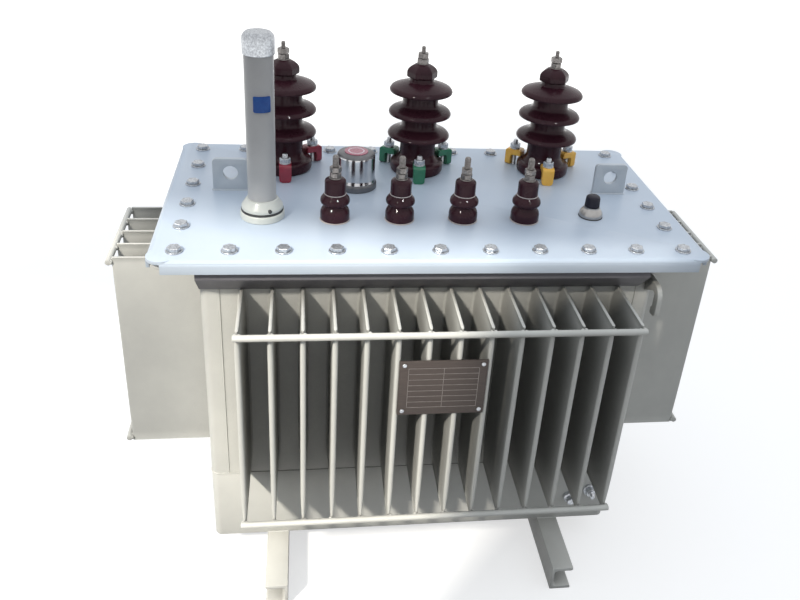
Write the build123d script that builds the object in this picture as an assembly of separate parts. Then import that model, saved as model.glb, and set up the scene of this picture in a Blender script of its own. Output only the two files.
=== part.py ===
"""Small oil-filled distribution transformer with a corrugated tank.

Millimetres, +Z up. The origin is on the ground below the middle of the tank,
X runs along the long side and -Y is the front, the side with the nameplate.
"""
import os

from build123d import *

# Tank: four folded walls over a plain welded tray, on two channels
TANK_LENGTH = 710
TANK_DEPTH = 364
TANK_HEIGHT = 566
TANK_CORNER = 12
WALL = 3
FLOOR = 5
TRAY_HEIGHT = 142
CORNER_RETURN = 17

# Channel feet, rolled channel with its back to the middle
FOOT_HEIGHT = 50
FOOT_WIDTH = 37
FOOT_LENGTH = 600
FOOT_WEB = 5
FOOT_FLANGE = 7
FOOT_ROOT_RADIUS = 6
FOOT_TOE_RADIUS = 3.5
FOOT_FROM_END = 127

# Hollow cooling fins, pinched flat and welded at both ends
FIN_PITCH = 45
FRONT_FINS = 14
SIDE_FINS = 5
FRONT_FIN_DEPTH = 122.5
SIDE_FIN_DEPTH = 141
FIN_THICKNESS = 8.5
FIN_PINCH = 3.4
FIN_PINCH_TOP = 30
FIN_PINCH_BOTTOM = 62
FIN_ABOVE_TRAY = 3
FIN_BELOW_RIM = 60
FIN_ROOT = 1.5

# Round bars welded across the fin tips
BAR_DIAMETER = 10
BAR_FROM_FIN_END = 6
BAR_OVERHANG = 4

# Rim: flat flange round the tank top with a collar below it
RIM_THICKNESS = 8
COLLAR_HEIGHT = 41
COLLAR_THICKNESS = 4
RIM_CORNER = 16

# Cover: pressed plate with its edges turned down over the rim
GASKET_THICKNESS = 4
GASKET_SETBACK = 3
COVER_THICKNESS = 5
COVER_OVERHANG_X = 67
COVER_OVERHANG_Y = 48
COVER_CORNER = 22
COVER_CORNER_SETBACK = 1
LIP_HEIGHT = 20
BEND_RADIUS = 8

# High-voltage bushings
HV_COUNT = 3
HV_PITCH = 234.7
HV_FROM_WALL = 64
HV_FOOT_RADIUS = 47
HV_FOOT_HEIGHT = 25
HV_FOOT_TAPER = 4
HV_SHOULDER_RADIUS = 38
HV_NECK_RISE = 10
HV_BODY_RADIUS = 31
HV_SHED_RADIUS = 55
HV_SHED_PITCH = 40
HV_SHEDS = 3
HV_FIRST_SHED = 65.5
HV_SHED_EDGE = 6
HV_SHED_SLOPE = 9
HV_SHED_CROWN = 11
HV_SHED_HOLLOW = 3
HV_NECK_RADIUS = 21
HV_NECK_SLOPE = 2.5
HV_NECK_HEIGHT = 9.5
HV_CAP_RADIUS = 27
HV_CAP_HEIGHT = 24
HV_CAP_SEAT = 2
HV_CAP_CROWN = 11
HV_CAP_LAND = 12
HV_CAP_FACETS = 6
HV_STUD_RADIUS = 3.5
HV_STUD_HEIGHT = 30
HV_NUT_FLATS = 17
HV_NUT_HEIGHT = 9
HV_NUT_GAP = 1
HV_NUT_TURN = 20

# Clamps that hold each high-voltage bushing down: arched claws on welded studs
CLAMPS = 3
CLAMP_WIDTH = 25
CLAMP_REACH = 29
CLAMP_HEIGHT = 40
CLAMP_ARCH = 10
CLAMP_LEG = 8
CLAMP_NOSE = 7
CLAMP_LAP = 5
CLAMP_CLEARANCE = 0.3
CLAMP_CORNER = 6
CLAMP_TURN = (-91, -95, -96)
CLAMP_STUD_RADIUS = 5
CLAMP_STUD_HEIGHT = 10
CLAMP_NUT_FLATS = 16
CLAMP_NUT_HEIGHT = 7

# Low-voltage bushings
LV_COUNT = 4
LV_PITCH = 102.1
LV_FROM_WALL = 92
LV_BULGE_RADIUS = 23
LV_WAIST_RADIUS = 16
LV_FOOT_HEIGHT = 24
LV_FOOT_DOME = 7
LV_WAIST_RISE = 2
LV_RING_TOP = 44
LV_RING_EASE = 4
LV_RING_SLOPE = 8
LV_NECK_RADIUS = 16.5
LV_TOP = 70
LV_STUD_RADIUS = 5
LV_STUD_TOP = 107
LV_WASHER_RADIUS = 10
LV_WASHER_THICKNESS = 2
LV_NUT_FLATS = 16
LV_NUT_HEIGHT = 8
LV_NUT_GAP = 1
LV_NUT_TURN = 15

# Oil-level tube on the left of the cover
LEVEL_FROM_END = 90
LEVEL_FROM_WALL = 103
LEVEL_TUBE_RADIUS = 21.5
LEVEL_TUBE_HEIGHT = 234
LEVEL_FOOT_RADIUS = 34
LEVEL_FOOT_HEIGHT = 12
LEVEL_SEAL_HEIGHT = 3
LEVEL_SEAL_SETBACK = 3
LEVEL_COLLAR_RADIUS = 32
LEVEL_COLLAR_EDGE = 5
LEVEL_COLLAR_NECK = 24
LEVEL_COLLAR_HEIGHT = 17
LEVEL_CAP_RADIUS = 23.5
LEVEL_CAP_HEIGHT = 32
LEVEL_CAP_LAP = 10
LEVEL_CAP_CORNER = 6
WINDOW_WIDTH = 25
WINDOW_HEIGHT = 24
WINDOW_CORNER = 2
WINDOW_Z = 187
WINDOW_DEPTH = 4
WINDOW_TURN = 12

# Pressure relief valve behind the low-voltage bushings
RELIEF_X = -114
RELIEF_Y = 40
RELIEF_BASE_RADIUS = 35.5
RELIEF_BASE_HEIGHT = 12
RELIEF_RADIUS = 32
RELIEF_HEIGHT = 63
RELIEF_FLARE = 2
RELIEF_LABEL_RADIUS = 20
RELIEF_LABEL_HEIGHT = 1

# Thermometer pocket with its screw cap
POCKET_FROM_END = 84.5
POCKET_FROM_WALL = 108
POCKET_BASE_RADIUS = 19.5
POCKET_BASE_HEIGHT = 7
POCKET_SHOULDER_HEIGHT = 15
POCKET_NECK_RADIUS = 13
POCKET_HEIGHT = 18
POCKET_CAP_RADIUS = 12.5
POCKET_CAP_TOP_RADIUS = 11.5
POCKET_CAP_HEIGHT = 19

# Lifting lugs on the cover
LEFT_LUG_FROM_END = 35
RIGHT_LUG_FROM_END = 25
LUG_Y = 19
LUG_WIDTH = 57
LUG_HEIGHT = 55
LUG_THICKNESS = 8
LUG_HOLE_RADIUS = 12
LUG_HOLE_Z = 31
LUG_CORNER = 7

# Tank lifting hooks, one at each of two opposite corners, with the mouth facing down
HOOK_FROM_END = 11
HOOK_THICKNESS = 8
HOOK_BELOW_RIM = 31
HOOK_REACH = 50
HOOK_HEIGHT = 53
HOOK_ROOT_HEIGHT = 31
HOOK_CROWN = 14
HOOK_ARM = 15
HOOK_TIP = 4
HOOK_TIP_HEIGHT = 12
HOOK_SHOULDER = 20

# Nameplate on the front fins
PLATE_WIDTH = 130
PLATE_HEIGHT = 96
PLATE_THICKNESS = 3
PLATE_BELOW_FINS = 52

# Drain plug and earth terminal low on the front of the tray
DRAIN_FROM_END = 74
DRAIN_ABOVE_FLOOR = 54
DRAIN_BOSS_RADIUS = 11
DRAIN_BOSS_LENGTH = 8
DRAIN_PLUG_FLATS = 13
DRAIN_PLUG_LENGTH = 9
EARTH_FROM_END = 37
EARTH_ABOVE_FLOOR = 68
EARTH_PAD_RADIUS = 12
EARTH_PAD_LENGTH = 5
EARTH_NUT_FLATS = 16
EARTH_NUT_HEIGHT = 8
EARTH_STUD_RADIUS = 5
EARTH_STUD_LENGTH = 10

FOOT_BACK = TANK_LENGTH / 2 - FOOT_FROM_END
HV_Y = TANK_DEPTH / 2 - HV_FROM_WALL
LV_Y = LV_FROM_WALL - TANK_DEPTH / 2
LEVEL_X = LEVEL_FROM_END - TANK_LENGTH / 2
LEVEL_Y = LEVEL_FROM_WALL - TANK_DEPTH / 2
POCKET_X = TANK_LENGTH / 2 - POCKET_FROM_END
POCKET_Y = POCKET_FROM_WALL - TANK_DEPTH / 2
LEFT_LUG_X = LEFT_LUG_FROM_END - TANK_LENGTH / 2
RIGHT_LUG_X = TANK_LENGTH / 2 - RIGHT_LUG_FROM_END
HOOK_X = TANK_LENGTH / 2 - HOOK_FROM_END
TANK_BOTTOM = FOOT_HEIGHT
DRAIN_X = TANK_LENGTH / 2 - DRAIN_FROM_END
DRAIN_Z = TANK_BOTTOM + DRAIN_ABOVE_FLOOR
EARTH_X = TANK_LENGTH / 2 - EARTH_FROM_END
EARTH_Z = TANK_BOTTOM + EARTH_ABOVE_FLOOR
TRAY_TOP = TANK_BOTTOM + TRAY_HEIGHT
RIM_TOP = TANK_BOTTOM + TANK_HEIGHT
RIM_BOTTOM = RIM_TOP - RIM_THICKNESS
COVER_BOTTOM = RIM_TOP + GASKET_THICKNESS
COVER_TOP = COVER_BOTTOM + COVER_THICKNESS
COVER_LENGTH = TANK_LENGTH + 2 * COVER_OVERHANG_X
COVER_DEPTH = TANK_DEPTH + 2 * COVER_OVERHANG_Y
RIM_LENGTH = COVER_LENGTH - 2 * (COVER_THICKNESS + GASKET_SETBACK)
RIM_DEPTH = COVER_DEPTH - 2 * (COVER_THICKNESS + GASKET_SETBACK)
FIN_BOTTOM = TRAY_TOP + FIN_ABOVE_TRAY
FIN_TOP = RIM_TOP - FIN_BELOW_RIM
BAR_HEIGHTS = (FIN_BOTTOM + BAR_FROM_FIN_END, FIN_TOP - BAR_FROM_FIN_END)


def block(length, depth, bottom, top, x=0, y=0):
    """Upright box centred on x, y between two heights."""
    return Pos(x, y, (bottom + top) / 2) * Box(length, depth, top - bottom)


def rounded(length, depth, corner, bottom, top):
    """Upright block with rounded vertical edges, centred on the axis."""
    outline = RectangleRounded(length, depth, corner)
    return Pos(0, 0, bottom) * extrude(outline, top - bottom)


def turned(corners, radii):
    """Solid of revolution about Z from (radius, height) corners, each eased by its radius."""
    outline = FilletPolyline(*corners, radius=radii) + Line(corners[-1], corners[0])
    return revolve(Plane.XZ * make_face(outline), Axis.Z)


def cylinder(radius, bottom, top):
    """Upright cylinder on the axis between two heights."""
    return Pos(0, 0, (bottom + top) / 2) * Cylinder(radius, top - bottom)


def hexagon(flats, bottom, top):
    """Upright hexagonal prism on the axis, sized across its flats."""
    return Pos(0, 0, bottom) * extrude(RegularPolygon(flats / 2, 6, major_radius=False), top - bottom)


def bar_x(radius, length, y, z):
    """Round bar along X."""
    return Pos(0, y, z) * Rot(0, 90, 0) * Cylinder(radius, length)


def bar_y(radius, length, x, z):
    """Round bar along Y."""
    return Pos(x, 0, z) * Rot(90, 0, 0) * Cylinder(radius, length)


def fin(depth):
    """One fin that runs towards -Y from a wall face at Y = 0, thick in X."""
    heights = (FIN_BOTTOM, FIN_BOTTOM + FIN_PINCH_BOTTOM, FIN_TOP - FIN_PINCH_TOP, FIN_TOP)
    widths = (FIN_PINCH, FIN_THICKNESS, FIN_THICKNESS, FIN_PINCH)
    sections = []
    for height, width in zip(heights, widths):
        half = width / 2
        nose = half - depth
        outline = Polyline((half, nose), (half, FIN_ROOT), (-half, FIN_ROOT), (-half, nose))
        outline += ThreePointArc((-half, nose), (0, -depth), (half, nose))
        sections.append(Pos(0, 0, height) * make_face(outline))
    return loft(sections, ruled=True)


def fin_row(count, depth):
    """Evenly spaced fins, centred on X = 0."""
    blade = fin(depth)
    return [Pos((i - (count - 1) / 2) * FIN_PITCH, 0, 0) * blade for i in range(count)]


def tank_inside(bottom, top):
    """Space inside the tank walls between two heights."""
    return rounded(TANK_LENGTH - 2 * WALL, TANK_DEPTH - 2 * WALL, TANK_CORNER - WALL, bottom, top)


def front_wall():
    """Folded wall between the corner returns of the two end walls."""
    length = TANK_LENGTH - 2 * (TANK_CORNER + CORNER_RETURN)
    wall = block(length, WALL, TRAY_TOP, RIM_TOP, y=(WALL - TANK_DEPTH) / 2)
    for blade in fin_row(FRONT_FINS, FRONT_FIN_DEPTH):
        wall += Pos(0, -TANK_DEPTH / 2, 0) * blade
    return wall


def right_wall():
    """End wall, wrapped round both corners as a shallow channel."""
    shell = rounded(TANK_LENGTH, TANK_DEPTH, TANK_CORNER, TRAY_TOP, RIM_TOP)
    shell -= tank_inside(TRAY_TOP, RIM_TOP)
    keep = TANK_CORNER + CORNER_RETURN
    wall = shell & block(keep, TANK_DEPTH, TRAY_TOP, RIM_TOP, x=(TANK_LENGTH - keep) / 2)
    for blade in fin_row(SIDE_FINS, SIDE_FIN_DEPTH):
        wall += Pos(TANK_LENGTH / 2, 0, 0) * Rot(0, 0, 90) * blade
    return wall


def tray():
    """Plain lower tank: a floor with an upright wall all round."""
    shell = rounded(TANK_LENGTH, TANK_DEPTH, TANK_CORNER, TANK_BOTTOM, TRAY_TOP)
    return shell - tank_inside(TANK_BOTTOM + FLOOR, TRAY_TOP)


def rim():
    """Flange that the cover is bolted to, with a collar against the tank walls."""
    flange = rounded(RIM_LENGTH, RIM_DEPTH, RIM_CORNER, RIM_BOTTOM, RIM_TOP)
    collar = rounded(
        TANK_LENGTH + 2 * COLLAR_THICKNESS,
        TANK_DEPTH + 2 * COLLAR_THICKNESS,
        TANK_CORNER + COLLAR_THICKNESS,
        RIM_BOTTOM - COLLAR_HEIGHT,
        RIM_BOTTOM,
    )
    hole = rounded(TANK_LENGTH, TANK_DEPTH, TANK_CORNER, RIM_BOTTOM - COLLAR_HEIGHT, RIM_TOP)
    return flange + collar - hole


def gasket():
    """Flat seal between the rim and the cover."""
    sheet = rounded(
        RIM_LENGTH - 2 * GASKET_SETBACK,
        RIM_DEPTH - 2 * GASKET_SETBACK,
        RIM_CORNER,
        RIM_TOP,
        COVER_BOTTOM,
    )
    return sheet - rounded(TANK_LENGTH, TANK_DEPTH, TANK_CORNER, RIM_TOP, COVER_BOTTOM)


def folded_strip(length, width):
    """Plate along X with both long edges turned down round a bend."""
    half = width / 2
    low = COVER_TOP - LIP_HEIGHT
    inner = half - COVER_THICKNESS
    corners = [(-half, low), (-half, COVER_TOP), (half, COVER_TOP), (half, low)]
    corners += [(inner, low), (inner, COVER_BOTTOM), (-inner, COVER_BOTTOM), (-inner, low)]
    inside = BEND_RADIUS - COVER_THICKNESS
    radii = [0, BEND_RADIUS, BEND_RADIUS, 0, 0, inside, inside, 0]
    outline = FilletPolyline(*corners, radius=radii, close=True)
    return Pos(-length / 2, 0, 0) * extrude(Plane.YZ * make_face(outline), length)


def cover():
    """Cover plate with a turned-down lip on each side and open, rounded corners."""
    plate = folded_strip(COVER_LENGTH - 2 * COVER_CORNER, COVER_DEPTH)
    plate += Rot(0, 0, 90) * folded_strip(COVER_DEPTH - 2 * COVER_CORNER, COVER_LENGTH)
    disc = COVER_CORNER - COVER_CORNER_SETBACK
    for x in (-1, 1):
        for y in (-1, 1):
            spot = Pos(x * (COVER_LENGTH / 2 - COVER_CORNER), y * (COVER_DEPTH / 2 - COVER_CORNER), 0)
            plate += spot * cylinder(disc, COVER_BOTTOM, COVER_TOP)
    return plate


def hv_porcelain():
    """High-voltage porcelain: a clamped foot, a waist, three drooping sheds and a neck."""
    waist = HV_BODY_RADIUS
    corners = [
        (0, 0),
        (HV_FOOT_RADIUS - HV_FOOT_TAPER, 0),
        (HV_FOOT_RADIUS, HV_FOOT_TAPER),
        (HV_FOOT_RADIUS, HV_FOOT_HEIGHT),
        (HV_SHOULDER_RADIUS, HV_FOOT_HEIGHT),
        (waist, HV_FOOT_HEIGHT + HV_NECK_RISE),
    ]
    radii = [2, 3, 4, 4, 6]
    for i in range(HV_SHEDS):
        edge = HV_FIRST_SHED + i * HV_SHED_PITCH
        rim = edge + HV_SHED_EDGE
        corners += [
            (waist, edge + HV_SHED_HOLLOW),
            (HV_SHED_RADIUS, edge),
            (HV_SHED_RADIUS, rim),
            (HV_SHED_RADIUS - HV_SHED_CROWN, rim + HV_SHED_SLOPE / 2),
            (waist, rim + HV_SHED_SLOPE),
        ]
        radii += [3, 2, 3, 25, 6]
    top = hv_porcelain_top()
    neck = top - HV_NECK_HEIGHT + HV_NECK_SLOPE
    corners += [(HV_NECK_RADIUS, neck), (HV_NECK_RADIUS, top), (0, top)]
    radii += [3, 0]
    return turned(corners, radii)


def hv_porcelain_top():
    """Height of the porcelain above the cover, where its cap sits."""
    last_shed = HV_FIRST_SHED + (HV_SHEDS - 1) * HV_SHED_PITCH
    return last_shed + HV_SHED_EDGE + HV_SHED_SLOPE + HV_NECK_HEIGHT


def hv_cap():
    """Hexagonal, domed cap over the neck of the porcelain."""
    bottom = hv_porcelain_top()
    top = bottom + HV_CAP_HEIGHT
    corners = [
        (0, bottom),
        (HV_CAP_RADIUS - HV_CAP_SEAT, bottom),
        (HV_CAP_RADIUS, bottom + HV_CAP_SEAT),
        (HV_CAP_RADIUS, top - HV_CAP_CROWN),
        (HV_CAP_LAND, top),
        (0, top),
    ]
    dome = turned(corners, [0, 1, 7, 6])
    facets = RegularPolygon(HV_CAP_RADIUS, HV_CAP_FACETS)
    return dome & Pos(0, 0, bottom) * extrude(facets, HV_CAP_HEIGHT)


def hv_terminal():
    """Threaded stud and two nuts on the cap."""
    bottom = hv_porcelain_top() + HV_CAP_HEIGHT
    stud = cylinder(HV_STUD_RADIUS, bottom, bottom + HV_STUD_HEIGHT)
    nuts = hexagon(HV_NUT_FLATS, bottom, bottom + HV_NUT_HEIGHT)
    upper = bottom + HV_NUT_HEIGHT + HV_NUT_GAP
    nuts += Rot(0, 0, HV_NUT_TURN) * hexagon(HV_NUT_FLATS, upper, upper + HV_NUT_HEIGHT)
    return stud + nuts


def clamp():
    """Arched claw: its nose holds the porcelain foot, its leg stands on the cover, and a
    stud from the cover goes up through the arch to the nut on top."""
    inner = HV_FOOT_RADIUS - CLAMP_LAP
    outer = inner + CLAMP_REACH
    lap = HV_FOOT_HEIGHT + CLAMP_CLEARANCE
    leg = outer - CLAMP_LEG
    nose = inner + CLAMP_NOSE
    arch = CLAMP_HEIGHT - CLAMP_ARCH
    corners = [(inner, lap), (inner, CLAMP_HEIGHT), (outer, CLAMP_HEIGHT), (outer, 0), (leg, 0)]
    corners += [(leg, arch), (nose, arch), (nose, lap)]
    radii = [1, CLAMP_CORNER, CLAMP_CORNER * 2, 1, 1, CLAMP_CORNER, 2, 1]
    outline = FilletPolyline(*corners, radius=radii, close=True)
    claw = extrude(Plane.XZ * make_face(outline), CLAMP_WIDTH / 2, both=True)
    middle = (nose + leg) / 2
    stud = cylinder(CLAMP_STUD_RADIUS, 0, CLAMP_HEIGHT + CLAMP_STUD_HEIGHT)
    nut = hexagon(CLAMP_NUT_FLATS, CLAMP_HEIGHT, CLAMP_HEIGHT + CLAMP_NUT_HEIGHT)
    return claw + Pos(middle, 0, 0) * (stud + nut)


def clamp_ring(turn):
    """The clamps round one high-voltage bushing."""
    step = 360 / CLAMPS
    ring = [Rot(0, 0, turn + step * i) * clamp() for i in range(CLAMPS)]
    return ring[0] + ring[1:]


def lv_porcelain():
    """Low-voltage porcelain: a domed foot, a rounded ring and a marked neck."""
    waist = LV_FOOT_HEIGHT + LV_WAIST_RISE
    corners = [
        (0, 0),
        (LV_BULGE_RADIUS, 0),
        (LV_BULGE_RADIUS, LV_FOOT_HEIGHT - LV_FOOT_DOME),
        (LV_WAIST_RADIUS, waist),
        (LV_BULGE_RADIUS, waist + LV_RING_EASE),
        (LV_BULGE_RADIUS, LV_RING_TOP - LV_RING_SLOPE),
        (LV_NECK_RADIUS, LV_RING_TOP),
        (LV_NECK_RADIUS, LV_TOP),
        (0, LV_TOP),
    ]
    return turned(corners, [1.5, 6, 2, 5, 5, 1, 3])


def lv_terminal():
    """Threaded stud with a foot washer and two nuts."""
    stud = cylinder(LV_STUD_RADIUS, LV_TOP, LV_STUD_TOP)
    washer = cylinder(LV_WASHER_RADIUS, LV_TOP, LV_TOP + LV_WASHER_THICKNESS)
    first = LV_TOP + LV_WASHER_THICKNESS
    second = first + LV_NUT_HEIGHT + LV_NUT_GAP
    nuts = hexagon(LV_NUT_FLATS, first, first + LV_NUT_HEIGHT)
    nuts += Rot(0, 0, LV_NUT_TURN) * hexagon(LV_NUT_FLATS, second, second + LV_NUT_HEIGHT)
    return stud + washer + nuts


def level_foot():
    """Flange, seal groove and sloping collar at the foot of the oil-level tube."""
    collar = LEVEL_FOOT_HEIGHT + LEVEL_SEAL_HEIGHT
    top = collar + LEVEL_COLLAR_HEIGHT
    seal = LEVEL_FOOT_RADIUS - LEVEL_SEAL_SETBACK
    corners = [(0, 0), (LEVEL_FOOT_RADIUS, 0), (LEVEL_FOOT_RADIUS, LEVEL_FOOT_HEIGHT)]
    corners += [(seal, LEVEL_FOOT_HEIGHT), (seal, collar)]
    corners += [(LEVEL_COLLAR_RADIUS, collar), (LEVEL_COLLAR_RADIUS, collar + LEVEL_COLLAR_EDGE)]
    corners += [(LEVEL_COLLAR_NECK, top), (0, top)]
    return turned(corners, [0, 2, 0, 0, 0.5, 5, 1])


def level_tube():
    """Plain tube between the collar and the cap."""
    bottom = LEVEL_FOOT_HEIGHT + LEVEL_SEAL_HEIGHT + LEVEL_COLLAR_HEIGHT
    return cylinder(LEVEL_TUBE_RADIUS, bottom, bottom + LEVEL_TUBE_HEIGHT)


def level_cap():
    """Screw cap that laps over the top of the tube."""
    tube_top = LEVEL_FOOT_HEIGHT + LEVEL_SEAL_HEIGHT + LEVEL_COLLAR_HEIGHT + LEVEL_TUBE_HEIGHT
    bottom = tube_top - LEVEL_CAP_LAP
    top = bottom + LEVEL_CAP_HEIGHT
    corners = [(0, bottom), (LEVEL_CAP_RADIUS, bottom), (LEVEL_CAP_RADIUS, top), (0, top)]
    cap = turned(corners, [0.5, LEVEL_CAP_CORNER])
    return cap - cylinder(LEVEL_TUBE_RADIUS, bottom, tube_top)


def level_window():
    """Raised sight window on the front of the tube."""
    reach = LEVEL_TUBE_RADIUS + WINDOW_DEPTH / 2
    frame = RectangleRounded(WINDOW_WIDTH, WINDOW_HEIGHT, WINDOW_CORNER)
    slab = Pos(0, -reach, WINDOW_Z) * extrude(Plane.XZ * frame, LEVEL_TUBE_RADIUS / 2, both=True)
    slab &= cylinder(reach, WINDOW_Z - WINDOW_HEIGHT, WINDOW_Z + WINDOW_HEIGHT)
    slab -= cylinder(LEVEL_TUBE_RADIUS, WINDOW_Z - WINDOW_HEIGHT, WINDOW_Z + WINDOW_HEIGHT)
    return Rot(0, 0, WINDOW_TURN) * slab


def relief_base():
    """Flange of the pressure relief valve."""
    corners = [(0, 0), (RELIEF_BASE_RADIUS, 0), (RELIEF_BASE_RADIUS, RELIEF_BASE_HEIGHT)]
    corners.append((0, RELIEF_BASE_HEIGHT))
    return turned(corners, [1, 4])


def relief_body():
    """Bright hood of the pressure relief valve, flared at its foot, with a round label on top."""
    label = RELIEF_HEIGHT + RELIEF_LABEL_HEIGHT
    corners = [
        (0, RELIEF_BASE_HEIGHT),
        (RELIEF_RADIUS + RELIEF_FLARE, RELIEF_BASE_HEIGHT),
        (RELIEF_RADIUS, RELIEF_BASE_HEIGHT + 2 * RELIEF_FLARE),
        (RELIEF_RADIUS, RELIEF_HEIGHT),
        (RELIEF_LABEL_RADIUS, RELIEF_HEIGHT),
        (RELIEF_LABEL_RADIUS, label),
        (0, label),
    ]
    return turned(corners, [0.5, 3, 5, 0, 0.5])


def pocket():
    """Thermometer pocket: a bulged flange with a neck, screwed into the cover."""
    corners = [(0, 0), (POCKET_BASE_RADIUS, 0), (POCKET_BASE_RADIUS, POCKET_BASE_HEIGHT)]
    corners += [(POCKET_NECK_RADIUS, POCKET_SHOULDER_HEIGHT), (POCKET_NECK_RADIUS, POCKET_HEIGHT)]
    corners.append((0, POCKET_HEIGHT))
    return turned(corners, [1, 5, 2, 0.5])


def pocket_cap():
    """Screw cap of the thermometer pocket, slightly tapered."""
    top = POCKET_HEIGHT + POCKET_CAP_HEIGHT
    corners = [(0, POCKET_HEIGHT), (POCKET_CAP_RADIUS, POCKET_HEIGHT)]
    corners += [(POCKET_CAP_TOP_RADIUS, top), (0, top)]
    return turned(corners, [1, 3])


def lifting_lug():
    """Upright plate with rounded shoulders and one hole, welded to the cover."""
    half = LUG_WIDTH / 2
    corners = [(half, 0), (half, LUG_HEIGHT), (-half, LUG_HEIGHT), (-half, 0)]
    outline = FilletPolyline(*corners, radius=[LUG_CORNER, LUG_CORNER]) + Line(corners[-1], corners[0])
    face = make_face(outline) - Pos(0, LUG_HOLE_Z) * Circle(LUG_HOLE_RADIUS)
    return extrude(Plane.XZ * face, LUG_THICKNESS / 2, both=True)


def tank_hook():
    """Hook plate on the collar: a root that rises to the mouth, and an arm that hangs down
    in front of it with a small tip towards the tank. Outward from the collar is +X here."""
    inner = HOOK_REACH - HOOK_ARM
    mouth = -HOOK_CROWN
    low = -HOOK_HEIGHT
    collar_end = HOOK_BELOW_RIM - COLLAR_HEIGHT
    corners = [
        (0, 0),
        (HOOK_REACH, 0),
        (HOOK_REACH, low + HOOK_TIP),
        (inner - HOOK_TIP, low),
        (inner - HOOK_TIP, low + HOOK_TIP_HEIGHT),
        (inner, low + HOOK_TIP_HEIGHT + HOOK_TIP),
        (inner, mouth),
        (inner - 2 * HOOK_TIP, mouth),
        (-COLLAR_THICKNESS, -HOOK_ROOT_HEIGHT),
        (-COLLAR_THICKNESS, collar_end),
        (0, collar_end),
    ]
    radii = [0, HOOK_SHOULDER, 8, 4, 3, 6, 4, 4, 0, 0, 0]
    face = make_face(FilletPolyline(*corners, radius=radii, close=True))
    return extrude(Plane.YZ * Rot(0, 180, 0) * face, HOOK_THICKNESS / 2, both=True)


def foot():
    """Rolled channel along Y, back on the inner side, for the right of the tank."""
    toe = FOOT_HEIGHT - FOOT_FLANGE
    corners = [(0, 0), (FOOT_WIDTH, 0), (FOOT_WIDTH, FOOT_FLANGE), (FOOT_WEB, FOOT_FLANGE)]
    corners += [(FOOT_WEB, toe), (FOOT_WIDTH, toe), (FOOT_WIDTH, FOOT_HEIGHT), (0, FOOT_HEIGHT)]
    radii = [0, 0, FOOT_TOE_RADIUS, FOOT_ROOT_RADIUS, FOOT_ROOT_RADIUS, FOOT_TOE_RADIUS, 0, 0]
    section = make_face(FilletPolyline(*corners, radius=radii, close=True))
    return Pos(FOOT_BACK, 0, 0) * extrude(Plane.XZ * section, FOOT_LENGTH / 2, both=True)


def fin_bars(length, reach, make_bar):
    """Lower and upper bars on both ends of a fin row, at one side of the tank."""
    lower, upper = [make_bar(BAR_DIAMETER / 2, length, reach, z) for z in BAR_HEIGHTS]
    return lower + upper


def nameplate():
    """Plate on the tips of the front fins."""
    top = FIN_TOP - PLATE_BELOW_FINS
    face = -TANK_DEPTH / 2 - FRONT_FIN_DEPTH
    return block(PLATE_WIDTH, PLATE_THICKNESS, top - PLATE_HEIGHT, top, y=face - PLATE_THICKNESS / 2)


def drain():
    """Welded boss with a hexagon plug on the front of the tray."""
    boss = cylinder(DRAIN_BOSS_RADIUS, 0, DRAIN_BOSS_LENGTH)
    boss += hexagon(DRAIN_PLUG_FLATS, DRAIN_BOSS_LENGTH, DRAIN_BOSS_LENGTH + DRAIN_PLUG_LENGTH)
    return Pos(DRAIN_X, -TANK_DEPTH / 2, DRAIN_Z) * Rot(90, 0, 0) * boss


def earth_terminal():
    """Welded pad with a stud and its nut, for the earth wire, beside the drain plug."""
    nut_top = EARTH_PAD_LENGTH + EARTH_NUT_HEIGHT
    terminal = cylinder(EARTH_PAD_RADIUS, 0, EARTH_PAD_LENGTH)
    terminal += hexagon(EARTH_NUT_FLATS, EARTH_PAD_LENGTH, nut_top)
    terminal += cylinder(EARTH_STUD_RADIUS, nut_top, nut_top + EARTH_STUD_LENGTH)
    return Pos(EARTH_X, -TANK_DEPTH / 2, EARTH_Z) * Rot(90, 0, 0) * terminal


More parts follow.
